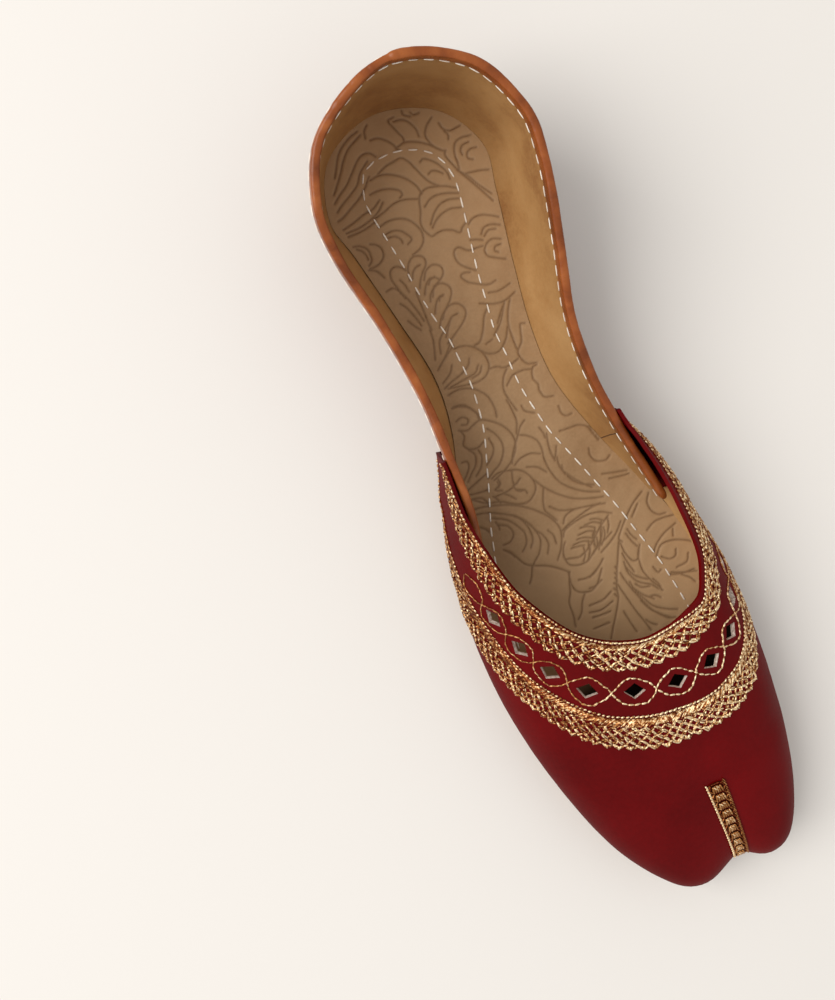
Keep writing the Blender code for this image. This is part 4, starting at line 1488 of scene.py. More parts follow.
def makeToeBraid(threadShape):
    random = np.random.default_rng(41)
    full = float(vampFull(vampToeRow))
    end = full - braid["endRise"]
    start = end - braid["length"]
    rows = np.linspace(vampToeRow - 1.3, vampToeRow + 1.3, 261)
    places, alongs, outs, sizes, tones = [], [], [], [], []

    def rowAt(x, distance):
        across = vampAt(rows, np.full(rows.shape, distance))[:, 0]
        order = np.argsort(across)
        return np.interp(x, across[order], rows[order])

    def put(x, distance, heading, size, tone, lift):
        centre = vampAt(np.array([float(vampToeRow)]), np.array([distance]))[0]
        row = np.array([rowAt(centre[0] + x, distance)])
        reach = np.array([distance])
        _, down, outward = vampFrame(row, reach)
        across = unit(np.cross(outward, down))
        along = down * math.cos(heading) + across * math.sin(heading)
        places.append(onVamp(row, reach, lift)[0])
        alongs.append(along[0])
        outs.append(outward[0])
        sizes.append(size)
        tones.append(tone)

    def shrink(distance):
        return 1 - braid["narrowing"] * (distance - start) / braid["length"]

    halfWidth = 0.5 * braid["width"]
    for edge, bright, width in braidEdges:
        for distance in np.arange(start, end, braid["edgePitch"]):
            side = edge * shrink(distance)
            tone = random.uniform(bright, bright + 0.20)
            put(side * (halfWidth - 0.0003), distance, 0.35, (0.0016, width, 0.0008), tone, 0.0005)
            tone = random.uniform(0.0, 0.15)
            put(side * (halfWidth - 0.0010), distance + 0.0005, -0.45, braidThreads["underEdge"], tone,
                0.0003)
    pitch = braid["length"] / braid["loops"]
    for index in range(braid["loops"]):
        middle = start + (index + 0.5) * pitch
        narrow = shrink(middle)
        for lane in np.linspace(-1, 1, 5):
            away = 0.0002 * abs(lane)
            size = (pitch * 0.80, 0.00074, 0.0011)
            tone = random.uniform(0.35, 0.75)
            put(lane * braid["laneStep"] * narrow, middle + away, 0.16 * lane, size, tone, 0.0009 - away)
        # two bright threads near the upper end of each loop are painted highlights
        paintedGlints = (
            ("longPaintedGlint", -0.0008, 0.20, 0.5, (0.85, 1.0)),
            ("shortPaintedGlint", 0.0004, 0.26, 0.9, (0.6, 0.9)),
        )
        for name, x, back, heading, bright in paintedGlints:
            tone = random.uniform(*bright)
            put(x * narrow, middle - back * pitch, heading, braidThreads[name], tone, 0.0013)
        for side in (-1, 1):
            for ahead, heading in ((-0.3, 0.8), (0.2, -0.8)):
                tone = random.uniform(0.05, 0.45)
                put(side * braid["besideStep"] * narrow, middle + ahead * pitch, side * heading,
                    braidThreads["beside"], tone, 0.0005)
        for lane in (-1, 0, 1):
            tone = random.uniform(0.0, 0.10)
            put(lane * braid["gapStep"], middle - 0.5 * pitch, math.pi / 2, braidThreads["gap"], tone, 0.0004)
    threads = layCopies("toe_braid_threads", threadShape, np.array(places), np.array(alongs), np.array(outs),
                        np.array(sizes), np.array(tones))
    smoothShade(threads, 80)
    finishPiece(threads, [brownGoldThread], ["toe_braid"])


makeToeBraid(roundThread)
print("toe braid made")


insole = {
    "sheet": 0.0006,
    "cell": 0.00034,
    "coarseCell": 0.0018,
    "coarseBefore": -0.062,    # in front of this the insole is out of sight
    "grooveWidth": 0.00031,
    "grooveDepth": 0.00030,
    "mottleDepth": 0.00006,
    "outlinePoints": 720,
    "stitchLength": 0.0031,
    "stitchGap": 0.0014,
    "stitchWidth": 0.00055,
}

# Stitch line of the insole in millimetres
insoleStitchLine = (
    (26.6, -62.0), (25.7, -47.5), (24.5, -36.7), (23.7, -31.3), (21.3, -21.0), (19.0, -10.8), (16.1, -1.0),
    (13.2, 8.5), (10.1, 18.3), (8.5, 27.0), (7.6, 34.0), (7.5, 40.0), (7.7, 45.5), (7.7, 53.0), (9.3, 62.5),
    (10.8, 71.2), (13.6, 83.4), (15.5, 92.0), (16.2, 97.9), (14.9, 104.0), (11.2, 108.4), (4.6, 111.2),
    (-1.9, 111.5), (-6.8, 109.7), (-9.5, 104.8), (-10.3, 100.0), (-9.3, 90.0), (-8.3, 80.8), (-7.8, 72.8),
    (-6.9, 64.5), (-5.7, 57.5), (-5.5, 49.5), (-5.6, 41.5), (-6.2, 36.8), (-6.8, 33.2), (-7.7, 28.9),
    (-9.2, 24.2), (-11.6, 18.0), (-14.1, 11.3), (-17.3, 3.5), (-19.0, -0.9), (-20.6, -6.1), (-22.1, -10.8),
    (-25.6, -25.0), (-27.6, -45.0), (-28.0, -62.0),
)

# Embossed lines of the insole as x, y, x, y in tenths of a millimetre: flowers at the heel and waist,
# scrolls at the ball, a fern in front
insoleMotifs = (
    (79, 1204, 60, 1201, 69, 1168, 78, 1141, 76, 1128),
    (74, 1193, 94, 1189, 112, 1174, 123, 1147, 122, 1125),
    (46, 1122, 76, 1127, 110, 1113, 140, 1089, 164, 1062, 175, 1055),
    (179, 1157, 158, 1144, 142, 1125, 140, 1107, 147, 1084, 164, 1062),
    (191, 1133, 195, 1114, 211, 1101, 232, 1101, 243, 1101),
    (196, 1108, 201, 1091, 196, 1081),
    (259, 1064, 232, 1069, 212, 1065, 199, 1049, 193, 1027, 192, 1012, 187, 990),
    (246, 1049, 227, 1049, 215, 1038, 214, 1024),
    (260, 1026, 242, 1029, 228, 1022, 225, 1008, 236, 999),
    (174, 1056, 168, 1042, 178, 1005, 188, 978, 202, 949, 222, 905, 238, 868),
    (181, 991, 203, 961, 219, 928, 243, 888),
    (197, 972, 221, 967, 244, 961, 265, 953),
    (-11, 1174, 10, 1171, 30, 1155, 43, 1136, 51, 1113),
    (-32, 1080, -2, 1090, 22, 1092, 47, 1092, 63, 1073, 73, 1046, 82, 1019, 95, 993, 115, 972),
    (93, 1058, 105, 1062, 123, 1049, 139, 1028, 151, 1000, 151, 978),
    (100, 1017, 112, 1021, 127, 1014, 139, 1001),
    (-62, 1073, -38, 1075, -9, 1067, 19, 1049, 40, 1026, 54, 1000, 57, 975),
    (-80, 1037, -52, 1037, -24, 1029, 1, 1013, 5, 998, -6, 992),
    (-100, 970, -64, 976, -27, 985, 4, 982, 41, 967),
    (155, 948, 126, 967, 95, 979, 74, 983, 52, 975, 41, 958, 32, 931, 19, 906, 16, 884, 26, 859, 33, 853,
     48, 855, 70, 854, 93, 843, 110, 828, 123, 838, 137, 845),
    (155, 931, 125, 945, 96, 953, 72, 951, 49, 938),
    (149, 917, 120, 927, 92, 925, 66, 910, 42, 885),
    (145, 891, 113, 901, 83, 898, 59, 887, 43, 874),
    (-99, 943, -69, 947, -39, 942, -14, 928, 2, 904, 9, 879, 3, 854, -17, 837, -44, 830),
    (-95, 915, -70, 917, -47, 908, -33, 890, -27, 872, -43, 863),
    (-90, 905, -69, 900, -57, 887, -55, 872),
    (142, 838, 162, 848, 188, 846, 211, 834, 232, 819),
    (164, 796, 180, 810, 203, 809, 226, 797),
    (170, 787, 188, 797, 209, 792),
    (211, 759, 189, 770, 168, 766, 153, 750, 155, 731, 176, 715, 198, 701),
    (204, 746, 188, 747, 180, 737, 188, 728),
    (127, 795, 146, 788, 161, 779),
    (153, 764, 126, 768, 109, 771, 91, 789, 77, 791, 66, 778, 67, 751, 84, 728, 104, 710),
    (86, 712, 69, 718, 56, 713, 66, 692, 87, 675, 119, 657, 144, 658),
    (-126, 757, -132, 792, -125, 815, -108, 822, -93, 814, -82, 799),
    (-84, 768, -76, 797, -65, 814, -47, 824, -26, 818, -18, 805, -22, 788, -40, 773),
    (-75, 768, -67, 783, -52, 794, -37, 795),
    (-46, 750, -32, 770, -13, 779, 4, 776, 16, 762, 13, 744, -5, 730, -28, 722),
    (-40, 733, -30, 743, -14, 746),
    (-143, 911, -128, 902, -119, 885, -123, 864, -141, 850, -161, 847, -174, 848),
    (-44, 696, -32, 716, -9, 722, 10, 707, 11, 684, -12, 658, -46, 633, -67, 606),
    (-32, 677, -26, 687, -13, 688),
    (-47, 625, -29, 645, -4, 653, 18, 642, 25, 617, 8, 595, -27, 574, -65, 555),
    (-61, 574, -32, 609, -19, 620, 0, 621),
    (-120, 528, -101, 578, -95, 613),
    (-97, 538, -82, 574, -47, 600, -24, 616),
    (-126, 498, -99, 517, -52, 543),
    (-56, 534, -22, 527, 6, 505, 19, 477, 18, 445, -2, 422, -33, 415, -68, 422, -122, 436),
    (-27, 489, -38, 472, -67, 458, -104, 450, -131, 441),
    (-11, 459, -31, 442, -71, 439, -112, 437),
    (-82, 494, -98, 474, -130, 457),
    (139, 590, 125, 570, 100, 539, 70, 516),
    (84, 595, 66, 577, 46, 544, 23, 518, 4, 514, 12, 496, 34, 474, 65, 469, 97, 492, 116, 521),
    (159, 592, 139, 563, 121, 524, 116, 482, 115, 450, 135, 464, 147, 495, 155, 512, 168, 508),
    (181, 603, 154, 595, 132, 594, 103, 602, 72, 619),
    (178, 632, 142, 627, 109, 635),
    (132, 460, 113, 442, 113, 419, 125, 397, 150, 388),
    (148, 384, 130, 378, 120, 350, 127, 330, 123, 310, 129, 286, 154, 276),
    (16, 434, 37, 430, 54, 419, 75, 417, 104, 423),
    (61, 412, 39, 390, 26, 358, 29, 323, 36, 287),
    (131, 377, 103, 386, 70, 386, 40, 367),
    (-130, 419, -102, 421, -68, 411, -44, 392, -25, 361, -22, 321, -27, 296),
    (-131, 381, -103, 373, -82, 346, -72, 319),
    (-138, 379, -117, 375, -92, 359, -78, 333, -78, 314),
    (-144, 339, -123, 342, -109, 329, -118, 317, -133, 322),
    (-148, 311, -125, 300, -102, 306, -76, 310, -50, 294, -25, 268, -10, 239, -7, 210, -19, 181, -46, 155,
     -80, 138, -115, 128),
    (-69, 278, -54, 254, -46, 222, -54, 193, -78, 166, -107, 152, -128, 141),
    (-77, 249, -75, 220, -88, 199, -116, 179),
    (-143, 306, -141, 287, -154, 267, -145, 248, -121, 239, -95, 247),
    (-181, 220, -166, 216, -167, 200, -184, 180, -202, 167),
    (-146, 246, -135, 223, -147, 195, -168, 178, -189, 160),
    (-120, 232, -119, 209, -134, 183, -159, 164),
    (-213, 133, -171, 145, -126, 157),
    (-215, 126, -179, 116, -143, 110),
    (-120, 136, -95, 142, -65, 135, -36, 123, -17, 102, -7, 74, -9, 53, -22, 35, -48, 21, -76, 26, -102, 43,
     -127, 61, -166, 75, -198, 102),
    (-56, 127, -63, 107, -70, 84, -96, 79, -131, 80),
    (-41, 98, -57, 88, -70, 84, -62, 64, -44, 59),
    (-105, 130, -102, 112, -114, 101),
    (-239, 73, -199, 74, -155, 61, -104, 38, -61, 7, -23, -33, -3, -66, 4, -99, -4, -129, -23, -160,
     -44, -183),
    (-227, 62, -178, 48, -133, 21, -100, -5, -77, -40, -65, -75, -67, -108, -87, -138, -110, -155,
     -127, -170),
    (-171, 26, -132, 0, -109, -35, -100, -62, -109, -92, -130, -110),
    (-161, -2, -138, -18, -132, -46, -151, -65, -175, -64),
    (-32, -86, -23, -108, -26, -135),
    (-68, -67, -52, -93, -48, -124, -63, -151),
    (-181, -78, -160, -105, -143, -143, -123, -162, -83, -183, -53, -207, -31, -230),
    (-124, -164, -139, -192, -153, -208),
    (-31, -230, -35, -251, -39, -273, -30, -300, 3, -316, 31, -308, 53, -286, 67, -269),
    (14, 216, 35, 202, 53, 178, 56, 149, 50, 118, 51, 78, 64, 31, 93, -6, 126, -33, 163, -52),
    (-39, 141, -16, 151, 18, 151, 45, 137),
    (-9, 119, 19, 105, 40, 78),
    (-4, 71, 12, 41, 40, 4, 80, -33, 127, -57, 166, -71),
    (88, 184, 80, 154, 76, 122, 78, 98),
    (87, 105, 83, 73, 93, 45, 120, 3, 146, -28),
    (44, 250, 24, 238, 8, 219, -10, 199, -29, 175, -45, 149),
    (21, 329, 24, 294, 21, 257, 6, 225),
    (10, 36, -6, 4, -14, -26, -6, -46, 6, -71),
    (3, -22, 28, -48, 71, -66),
    (20, -89, 33, -73, 54, -66, 81, -68, 127, -81, 162, -92),
    (2, -127, 16, -110, 54, -101, 96, -99, 137, -109, 168, -129),
    (156, -130, 118, -151, 81, -179, 50, -197, 22, -206),
    (127, -144, 105, -128, 78, -125),
    (102, -160, 79, -146, 46, -143),
    (75, -181, 52, -167, 19, -164),
    (127, -156, 120, -181, 98, -204),
    (95, -174, 86, -198, 64, -216),
    (0, -143, -16, -163, -22, -189, -16, -214, 12, -228, 41, -227, 73, -209, 143, -182),
    (280, -112, 238, -134, 192, -171, 157, -207, 160, -224),
    (151, -219, 125, -265, 103, -304, 84, -344, 73, -378, 48, -415, 20, -451, -1, -480),
    (153, -225, 154, -260, 164, -290, 181, -294, 196, -272),
    (181, -205, 187, -232, 196, -257),
    (145, -256, 148, -292, 154, -325),
    (138, -282, 136, -321, 152, -359, 185, -386, 199, -408),
    (113, -309, 119, -346, 131, -393, 152, -454, 184, -501, 209, -514),
    (91, -342, 97, -380, 106, -435, 119, -492, 123, -514),
    (71, -422, 75, -459, 81, -498),
    (128, -366, 147, -401, 174, -430),
    (84, -244, 59, -261, 22, -277),
    (51, -301, 27, -309, 6, -308),
    (62, -347, 28, -359, -17, -356),
    (53, -377, 10, -385, -26, -376),
    (205, -257, 186, -287, 180, -333, 190, -374, 203, -400, 209, -418),
    (334, -248, 289, -260, 256, -278, 236, -297),
    (237, -313, 266, -288, 304, -292, 337, -308, 359, -325),
    (301, -321, 291, -339, 271, -340, 250, -322),
    (245, -227, 276, -214, 310, -216, 346, -224),
    (298, -125, 282, -148, 283, -178, 298, -199, 320, -205),
    (250, -385, 289, -399, 327, -404),
    (319, -259, 311, -280),
    (331, -350, 315, -372, 280, -374),
    (282, -400, 303, -421, 313, -441),
    (-1, 1217, -16, 1203, -21, 1184),
    (-17, 1126, -30, 1143, -50, 1147, -71, 1138, -100, 1114, -129, 1090, -160, 1073, -184, 1057),
    (-45, 1125, -78, 1104, -102, 1077, -133, 1060, -168, 1044, -188, 1032),
    (-60, 1084, -90, 1056, -115, 1040, -144, 1027, -179, 1012, -197, 1009),
    (-30, 1199, -50, 1192, -79, 1179, -107, 1155, -129, 1128, -153, 1102, -175, 1080),
    (-35, 1212, -59, 1207, -88, 1194, -114, 1174, -134, 1146, -151, 1122),
    (-63, 1011, -92, 997, -121, 995, -159, 986, -194, 981),
    (-56, 1002, -83, 982, -116, 971, -152, 966, -190, 968),
    (-98, 962, -130, 956, -163, 955, -190, 957),
    (-190, 925, -171, 918, -157, 901, -156, 881, -160, 867, -173, 857),
    (-184, 914, -173, 903, -167, 887, -168, 873),
    (-179, 846, -162, 835, -153, 820, -148, 807),
    (-161, 769, -139, 769, -125, 751, -120, 727),
    (129, 1196, 135, 1186, 151, 1184),
    (108, 1209, 108, 1198, 124, 1185),
    (-222, 23, -205, 8, -197, -6),
    (-214, 97, -198, 105, -172, 95, -161, 70),
    (-68, 735, -58, 752, -46, 766, -35, 777),
    (-63, 712, -50, 732, -32, 746, -14, 743, -4, 731),
    (-57, 687, -47, 705, -31, 718),
    (-60, 649, -48, 669, -34, 684, -16, 686),
    (-110, 781, -103, 761, -101, 739),
    (-126, 748, -116, 728, -108, 698, -102, 669, -99, 645),
    (-140, 720, -129, 702, -121, 678, -115, 656, -112, 636),
    (-142, 666, -133, 648, -119, 625),
    (-83, 729, -85, 704, -87, 672, -90, 640, -91, 611),
    (-91, 522, -72, 539, -51, 559),
    (131, 582, 113, 564, 95, 544),
    (37, 504, 49, 506, 59, 508),
    (-4, 452, -18, 436, -44, 432),
    (54, 293, 58, 274, 81, 256),
    (-166, 11, -164, -5, -165, -16),
    (-112, 7, -91, -21, -82, -54, -85, -88, -102, -111),
    (-176, -83, -164, -96, -159, -113),
    (75, 210, 80, 190, 79, 174),
    (100, 136, 89, 117, 78, 102),
    (90, 75, 87, 59, 89, 46),
    (93, 37, 104, 16, 123, -5, 156, -25),
    (127, 172, 153, 168, 185, 163, 209, 147, 216, 124, 224, 94),
    (155, 242, 155, 218, 166, 205, 183, 204),
    (187, 85, 182, 63, 192, 39, 218, 28, 237, 35),
    (192, -6, 223, -17, 265, -31),
    (206, -29, 241, -38, 267, -43),
    (-108, 120, -109, 107, -125, 99, -106, 88),
    (-107, 78, -93, 64, -80, 47),
    (-139, 84, -131, 70, -127, 57),
    (-68, 72, -44, 58, -41, 46),
    (4, -109, 38, -98, 77, -90, 121, -84, 149, -85),
    (100, -116, 120, -124, 138, -139),
    (60, -126, 82, -131, 103, -146),
    (36, -154, 56, -157, 81, -170),
    (128, -137, 115, -159, 106, -182, 89, -198),
    (102, -148, 87, -165, 78, -192),
    (151, -135, 144, -159, 131, -177),
    (183, -165, 156, -190, 123, -209, 88, -223),
    (66, -172, 61, -198, 50, -214),
    (9, -170, 35, -175, 50, -180),
    (123, -146, 115, -171, 101, -192, 85, -212),
    (98, -155, 85, -177, 79, -198),
    (62, -186, 57, -205, 44, -223),
    (45, -184, 40, -206, 26, -224),
    (-22, -192, -4, -198, 17, -205),
    (-13, -268, 9, -274, 33, -274, 52, -266),
    (-27, -232, -41, -260, -52, -290, -70, -320, -75, -360, -84, -394),
    (-15, -316, -32, -336, -48, -363, -66, -379),
    (-36, -427, -13, -430, 15, -432),
    (-24, -394, 2, -399, 33, -402),
    (107, -283, 108, -293),
    (98, -300, 101, -309),
    (92, -314, 95, -325),
    (82, -328, 90, -338),
    (74, -343, 82, -354),
    (69, -360, 75, -374),
    (137, -302, 148, -333, 169, -355, 182, -365),
    (127, -347, 132, -381, 145, -413, 161, -447, 191, -474, 225, -494),
    (141, -361, 154, -379, 178, -388),
    (197, -372, 207, -395, 207, -417),
    (168, -418, 183, -423, 195, -436),
    (134, -415, 148, -452, 168, -478, 197, -509),
    (122, -477, 134, -496, 147, -508),
    (253, -139, 238, -153, 220, -168),
    (191, -196, 195, -219, 204, -237),
    (257, -380, 289, -397, 331, -413),
    (213, -338, 220, -360, 232, -358),
)


# Distance from the feather line to the insole's edge: (feather row, inset). The vamp's wall leans outward.
insoleInset = (
    (0, 0.00085), (7.9, 0.00085), (8.2, 0.0), (9.2, -0.0001), (20.8, -0.0001), (21.8, 0.0), (22.1, 0.00085),
    (30, 0.00085),
)


def insoleOutline():
    stations = np.linspace(0, len(featherRows), insole["outlinePoints"] + 1)[:-1]
    return feather(stations, -tableAt(insoleInset, stations))[0]


def insoleTop(y):
    return soleTop(y) + shoe["clearance"] + shoe["insoleThickness"]


def smoothLine(points, step):
    # A smooth line through given points, cut to even steps.
    points = np.array(points, dtype=float)
    fine = betweenRows(points, np.linspace(0, len(points) - 1, 40 * len(points)))
    lengths = chainLengths(fine)
    marks = np.linspace(0, lengths[-1], max(2, int(lengths[-1] / step)))
    return np.column_stack([np.interp(marks, lengths, fine[:, axis]) for axis in range(fine.shape[1])])


def insideOutline(points, outline):
    # True where a point lies within the closed outline.
    x, y = points[:, 0], points[:, 1]
    inside = np.zeros(len(points), dtype=bool)
    ax, ay = outline[-1]
    for bx, by in outline:
        crosses = (by > y) != (ay > y)
        if by != ay:
            inside ^= crosses & (x < (ax - bx) * (y - by) / (ay - by) + bx)
        ax, ay = bx, by
    return inside


def grooveField(xs, ys, lines):
    # Depth share of the grooves at each point of the grid, 1 in the middle of a groove.
    nearest = np.full((len(ys), len(xs)), 1.0)
    stepX = xs[1] - xs[0]
    reach = 4                  # in points of the grid, wide enough for a groove to fade out
    for line in lines:
        for x, y in line:
            i = int(round((x - xs[0]) / stepX))
            j = int(np.searchsorted(ys, y))
            i0, i1 = max(i - reach, 0), min(i + reach + 1, len(xs))
            j0, j1 = max(j - reach, 0), min(j + reach + 1, len(ys))
            if i0 >= i1 or j0 >= j1:
                continue
            away = np.hypot(xs[None, i0:i1] - x, ys[j0:j1, None] - y)
            nearest[j0:j1, i0:i1] = np.minimum(nearest[j0:j1, i0:i1], away)
    return np.exp(-(nearest / insole["grooveWidth"]) ** 2)


def borderLoop(faces):
    # The corners of the border in order: an edge of the border belongs to one face only.
    edges = set()
    for face in faces:
        for first, second in zip(face, face[1:] + face[:1]):
            if (second, first) in edges:
                edges.remove((second, first))
            else:
                edges.add((first, second))
    after = dict(edges)
    start = min(after)
    loop = [start]
    while after[loop[-1]] != start:
        loop.append(after[loop[-1]])
    if len(loop) != len(edges):
        raise SystemExit("the border of the insole isn't one loop")
    return loop


def insoleFace(outline):
    # The embossed upper face: its corners and faces, each corner's groove and grid row, and the rows' places.
    low, high = outline.min(axis=0), outline.max(axis=0)
    cell, coarse, seam = insole["cell"], insole["coarseCell"], insole["coarseBefore"]
    xs = np.arange(low[0] - cell, high[0] + cell, cell)
    ys = np.concatenate((np.arange(low[1] - coarse, seam, coarse), np.arange(seam, high[1] + cell, cell)))
    lines = [smoothLine(np.reshape(motif, (-1, 2)) / 10000, 0.0002) for motif in insoleMotifs]
    groove = grooveField(xs, ys, lines).ravel()
    flat = np.column_stack([axis.ravel() for axis in np.meshgrid(xs, ys)])
    x, y = flat.T
    mottle = insole["mottleDepth"] * np.sin(x * 900 + 2 * np.sin(y * 300)) * np.sin(y * 700)
    heights = insoleTop(y) - insole["grooveDepth"] * groove + mottle
    # faces with a corner outside the outline go
    width = len(xs)
    corner = np.arange(len(flat)).reshape(len(ys), width)
    sides = (corner[:-1, :-1], corner[:-1, 1:], corner[1:, 1:], corner[1:, :-1])
    faces = np.stack(sides, axis=2).reshape(-1, 4)
    faces = faces[insideOutline(flat, outline)[faces].all(axis=1)]
    used = np.unique(faces)
    renumbered = np.zeros(len(flat), dtype=int)
    renumbered[used] = np.arange(len(used))
    vertices = np.column_stack((flat, heights))[used]
    return vertices, renumbered[faces].tolist(), groove[used], used // width, ys


def insoleMiddle(lower, borderRow, ys):
    # A line of corners down the middle of the underside, one for each row of the grid.
    firstRow, lastRow = borderRow.min(), borderRow.max()
    middle = []
    for row in range(firstRow, lastRow + 1):
        across = lower[borderRow == row, 0]
        y = ys[row]
        if row == firstRow:
            y = ys[row] + 0.5 * (ys[row + 1] - ys[row])
        if row == lastRow:
            y = ys[row] - 0.5 * (ys[row] - ys[row - 1])
        middle.append((0.5 * (across.min() + across.max()), y, float(insoleTop(y)) - insole["sheet"]))
    return np.array(middle)


def makeInsole():
    outline = insoleOutline()
    vertices, faces, groove, gridRow, ys = insoleFace(outline)
    border = borderLoop(faces)
    # the corners of the border are drawn onto the outline
    for index in border:
        away = np.hypot(outline[:, 0] - vertices[index, 0], outline[:, 1] - vertices[index, 1])
        vertices[index, :2] = outline[int(np.argmin(away))]
    # the underside runs from the lowered border to the line down the middle
    lower = vertices[border] - np.array((0, 0, insole["sheet"]))
    borderRow = gridRow[border]
    middle = insoleMiddle(lower, borderRow, ys)
    lowerStart = len(vertices)
    middleStart = lowerStart + len(border)
    for here in range(len(border)):
        after = (here + 1) % len(border)
        faces.append((border[after], border[here], lowerStart + here, lowerStart + after))
        ends = [middleStart + int(borderRow[end] - borderRow.min()) for end in (here, after)]
        if ends[0] == ends[1]:
            ends = ends[:1]
        faces.append((lowerStart + after, lowerStart + here, *ends))
    depths = np.concatenate((groove, np.zeros(len(border) + len(middle))))
    vertices = np.vstack((vertices, lower, middle))
    sheet = meshFromArrays("insole_leather_sheet", vertices, faces, {"groove": depths})
    faceOutwards(sheet)
    smoothShade(sheet, 50)
    finishPiece(sheet, [insoleLeather], ["insole"])


def makeInsoleStitches(threadShape):
    random = np.random.default_rng(51)
    line = smoothLine(np.array(insoleStitchLine) / 1000, 0.0001)
    lengths = chainLengths(line)
    pitch = insole["stitchLength"] + insole["stitchGap"]
    marks = np.arange(0.5 * pitch, lengths[-1], pitch)
    centre = np.column_stack([np.interp(marks, lengths, line[:, axis]) for axis in (0, 1)])
    ahead = np.column_stack([np.interp(marks + 0.001, lengths, line[:, axis]) for axis in (0, 1)])
    height = insoleTop(centre[:, 1]) + 0.0001
    aheadHeight = insoleTop(ahead[:, 1]) + 0.0001
    places = np.column_stack((centre, height))
    along = unit(np.column_stack((ahead, aheadHeight)) - places)
    count = len(places)
    outward = np.tile((0.0, 0.0, 1.0), (count, 1))
    sizes = np.column_stack((
        insole["stitchLength"] * random.uniform(0.85, 1.05, count),
        np.full(count, insole["stitchWidth"]),
        np.full(count, insole["stitchWidth"] * 0.8),
    ))
    stitches = layCopies("insole_stitches", threadShape, places, along, outward, sizes,
                         random.uniform(0.5, 1.0, count))
    smoothShade(stitches, 80)
    finishPiece(stitches, [whiteThread])


makeInsole()
makeInsoleStitches(roundThread)
print("insole made")


sole = {
    "edgeRound": 0.0007,
    "points": 480,
    "heelPoints": 200,
    "breastPoints": 40,
    "outerBreast": (23.0, 27.0),    # feather rows between which the heel's breast meets each side
    "innerBreast": (3.0, 7.0),
}

# Rounded edge of a plate from its underside to its topside: (inset, share of height, rise), in edge radii
plainEdge = (
    (1.0, 0, 0.0), (0.55, 0, 0.06), (0.22, 0, 0.30), (0.0, 0, 1.0),
    (0.0, 1, -1.0), (0.22, 1, -0.30), (0.55, 1, -0.06), (1.0, 1, 0.0),
)
# The heel's two layers meet in a groove at half height
layeredEdge = (
    *plainEdge[:4],
    (0.0, 0.5, -0.50), (0.40, 0.5, -0.12), (0.40, 0.5, 0.12), (0.0, 0.5, 0.50),
    *plainEdge[4:],
)


def makePlate(name, outline, underside, topside, edges, material, node):
    # A closed plate with shaped edge rings; its underside and topside follow the given heights.
    count = len(outline)
    heading = unit(np.roll(outline, -1, axis=0) - np.roll(outline, 1, axis=0))
    inward = np.column_stack((-heading[:, 1], heading[:, 0]))
    if np.sum(inward * (outline.mean(axis=0) - outline)) < 0:
        inward = -inward
    rings = []
    for inset, share, rise in edges:
        plan = outline + inward * (inset * sole["edgeRound"])
        low = underside(plan[:, 1])
        high = topside(plan[:, 1])
        rings.append(np.column_stack((plan, low + (high - low) * share + rise * sole["edgeRound"])))
    after = (np.arange(count) + 1) % count
    faces = [tuple(range(count))[::-1], tuple(range((len(rings) - 1) * count, len(rings) * count))]
    for ring in range(len(rings) - 1):
        below = ring * count
        above = below + count
        for index in range(count):
            faces.append((below + index, below + after[index], above + after[index], above + index))
    piece = meshFromArrays(name, np.vstack(rings), faces)
    faceOutwards(piece, triangles=True)
    smoothShade(piece, 35)
    finishPiece(piece, [material], [node])


def makeOutsole():
    outline = feather(np.linspace(0, len(featherRows), sole["points"] + 1)[:-1], shoe["soleExtension"])[0]
    makePlate("outsole_leather_plate", outline, soleRise, soleTop, plainEdge, outsoleLeather,
              "outsole")


def breastStation(span):
    # Where the feather line passes the heel's breast.
    stations = np.linspace(*span, 401)
    away = feather(stations)[0][:, 1] - shoe["heelBreast"] * shoe["length"]
    return stations[int(np.argmin(np.abs(away)))]


def makeHeelLift():
    outer = breastStation(sole["outerBreast"]) - len(featherRows)
    inner = breastStation(sole["innerBreast"])
    stations = np.linspace(outer, inner, sole["heelPoints"])
    back = feather(stations, shoe["soleExtension"] - shoe["heelInset"])[0]
    breast = np.linspace(back[-1], back[0], sole["breastPoints"])[1:-1]
    outline = np.vstack((back, breast))

    def onFloor(y):
        return np.zeros(np.shape(y))

    def underSole(y):
        return np.full(np.shape(y), shoe["heelHeight"] - shoe["clearance"])

    makePlate("heel_lift_stack", outline, onFloor, underSole, layeredEdge, heelLeather,
              "heel_lift")


makeOutsole()
makeHeelLift()
print("sole and heel made")


studio = {
    "floorColour": (0.80, 0.770, 0.735),
    "worldColour": (1.0, 0.985, 0.96),
    "worldStrength": 0.66,
    "keyPower": 23.5,
    "keyPlace": (-1.02, 0.62, 1.24),
    "keySize": 1.2,
    "keyColour": (1.0, 0.98, 0.95),
}

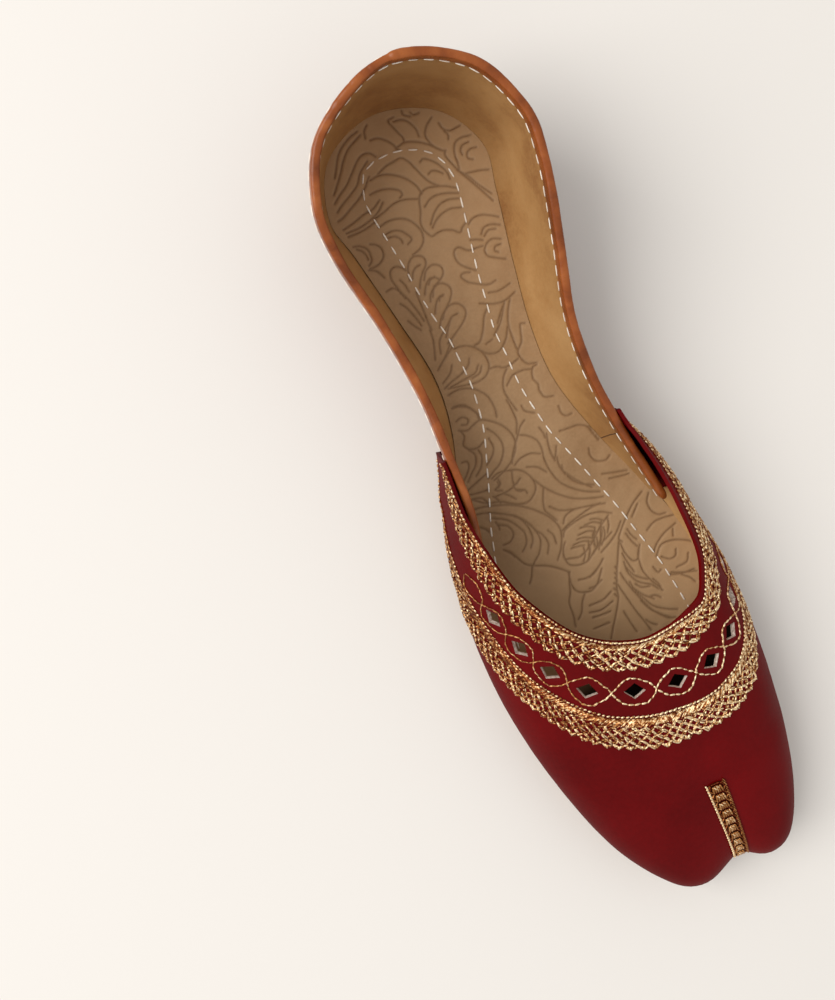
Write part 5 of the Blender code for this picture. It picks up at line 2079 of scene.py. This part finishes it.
cameraSettings = {
    "place": (-0.05452, 0.06257, 0.36300),
    "lens": 43.2,
    "sensor": 36.0,
    "right": (0.891003, -0.441626, 0.105258),
    "down": (-0.450623, -0.888496, 0.086683),
    "forward": (0.05524, -0.124666, -0.99066),
}


def makeFloor():
    clearSelection()
    bpy.ops.mesh.primitive_plane_add(size=6.0, location=(0, 0, -0.0002))
    floor = bpy.context.object
    floor.name = "studio_floor"
    bpy.ops.object.transform_apply(location=True, rotation=True, scale=True)
    finish = Finish("floorPaper", {"Roughness": 0.9, "Specular IOR Level": 0.1})
    mottle = finish.noise(finish.place(), 3.0, 2.0)
    colour = studio["floorColour"]
    finish.surface(colour=finish.mix(tuple(0.985 * c for c in colour), colour, mottle))
    floor.data.materials.append(finish.material)


def addKeyLight():
    # A square soft light that faces the shoe.
    data = bpy.data.lights.new("keyLight", "AREA")
    data.shape = "RECTANGLE"
    data.size = studio["keySize"]
    data.size_y = studio["keySize"]
    data.energy = studio["keyPower"]
    data.color = studio["keyColour"]
    light = bpy.data.objects.new("keyLight", data)
    bpy.context.scene.collection.objects.link(light)
    place = Vector(studio["keyPlace"])
    light.location = place
    light.rotation_euler = (-place).to_track_quat("-Z", "Y").to_euler()


def makeStudio():
    world = bpy.data.worlds.new("studioWorld")
    bpy.context.scene.world = world
    world.use_nodes = True
    background = world.node_tree.nodes["Background"]
    background.inputs["Color"].default_value = (*studio["worldColour"], 1.0)
    background.inputs["Strength"].default_value = studio["worldStrength"]
    addKeyLight()


def makeCamera():
    data = bpy.data.cameras.new("photoCamera")
    data.lens = cameraSettings["lens"]
    data.sensor_width = cameraSettings["sensor"]
    data.sensor_fit = "AUTO"
    data.clip_start = 0.01
    data.clip_end = 20.0
    camera = bpy.data.objects.new("photoCamera", data)
    bpy.context.scene.collection.objects.link(camera)
    right = Vector(cameraSettings["right"])
    up = -Vector(cameraSettings["down"])
    back = -Vector(cameraSettings["forward"])
    turn = Matrix((right, up, back)).transposed()
    camera.rotation_mode = "QUATERNION"
    camera.rotation_quaternion = turn.to_quaternion()
    camera.location = cameraSettings["place"]
    bpy.context.scene.camera = camera


makeFloor()
makeStudio()
makeCamera()
bpy.context.scene.view_settings.view_transform = "Standard"
print("picture set up")
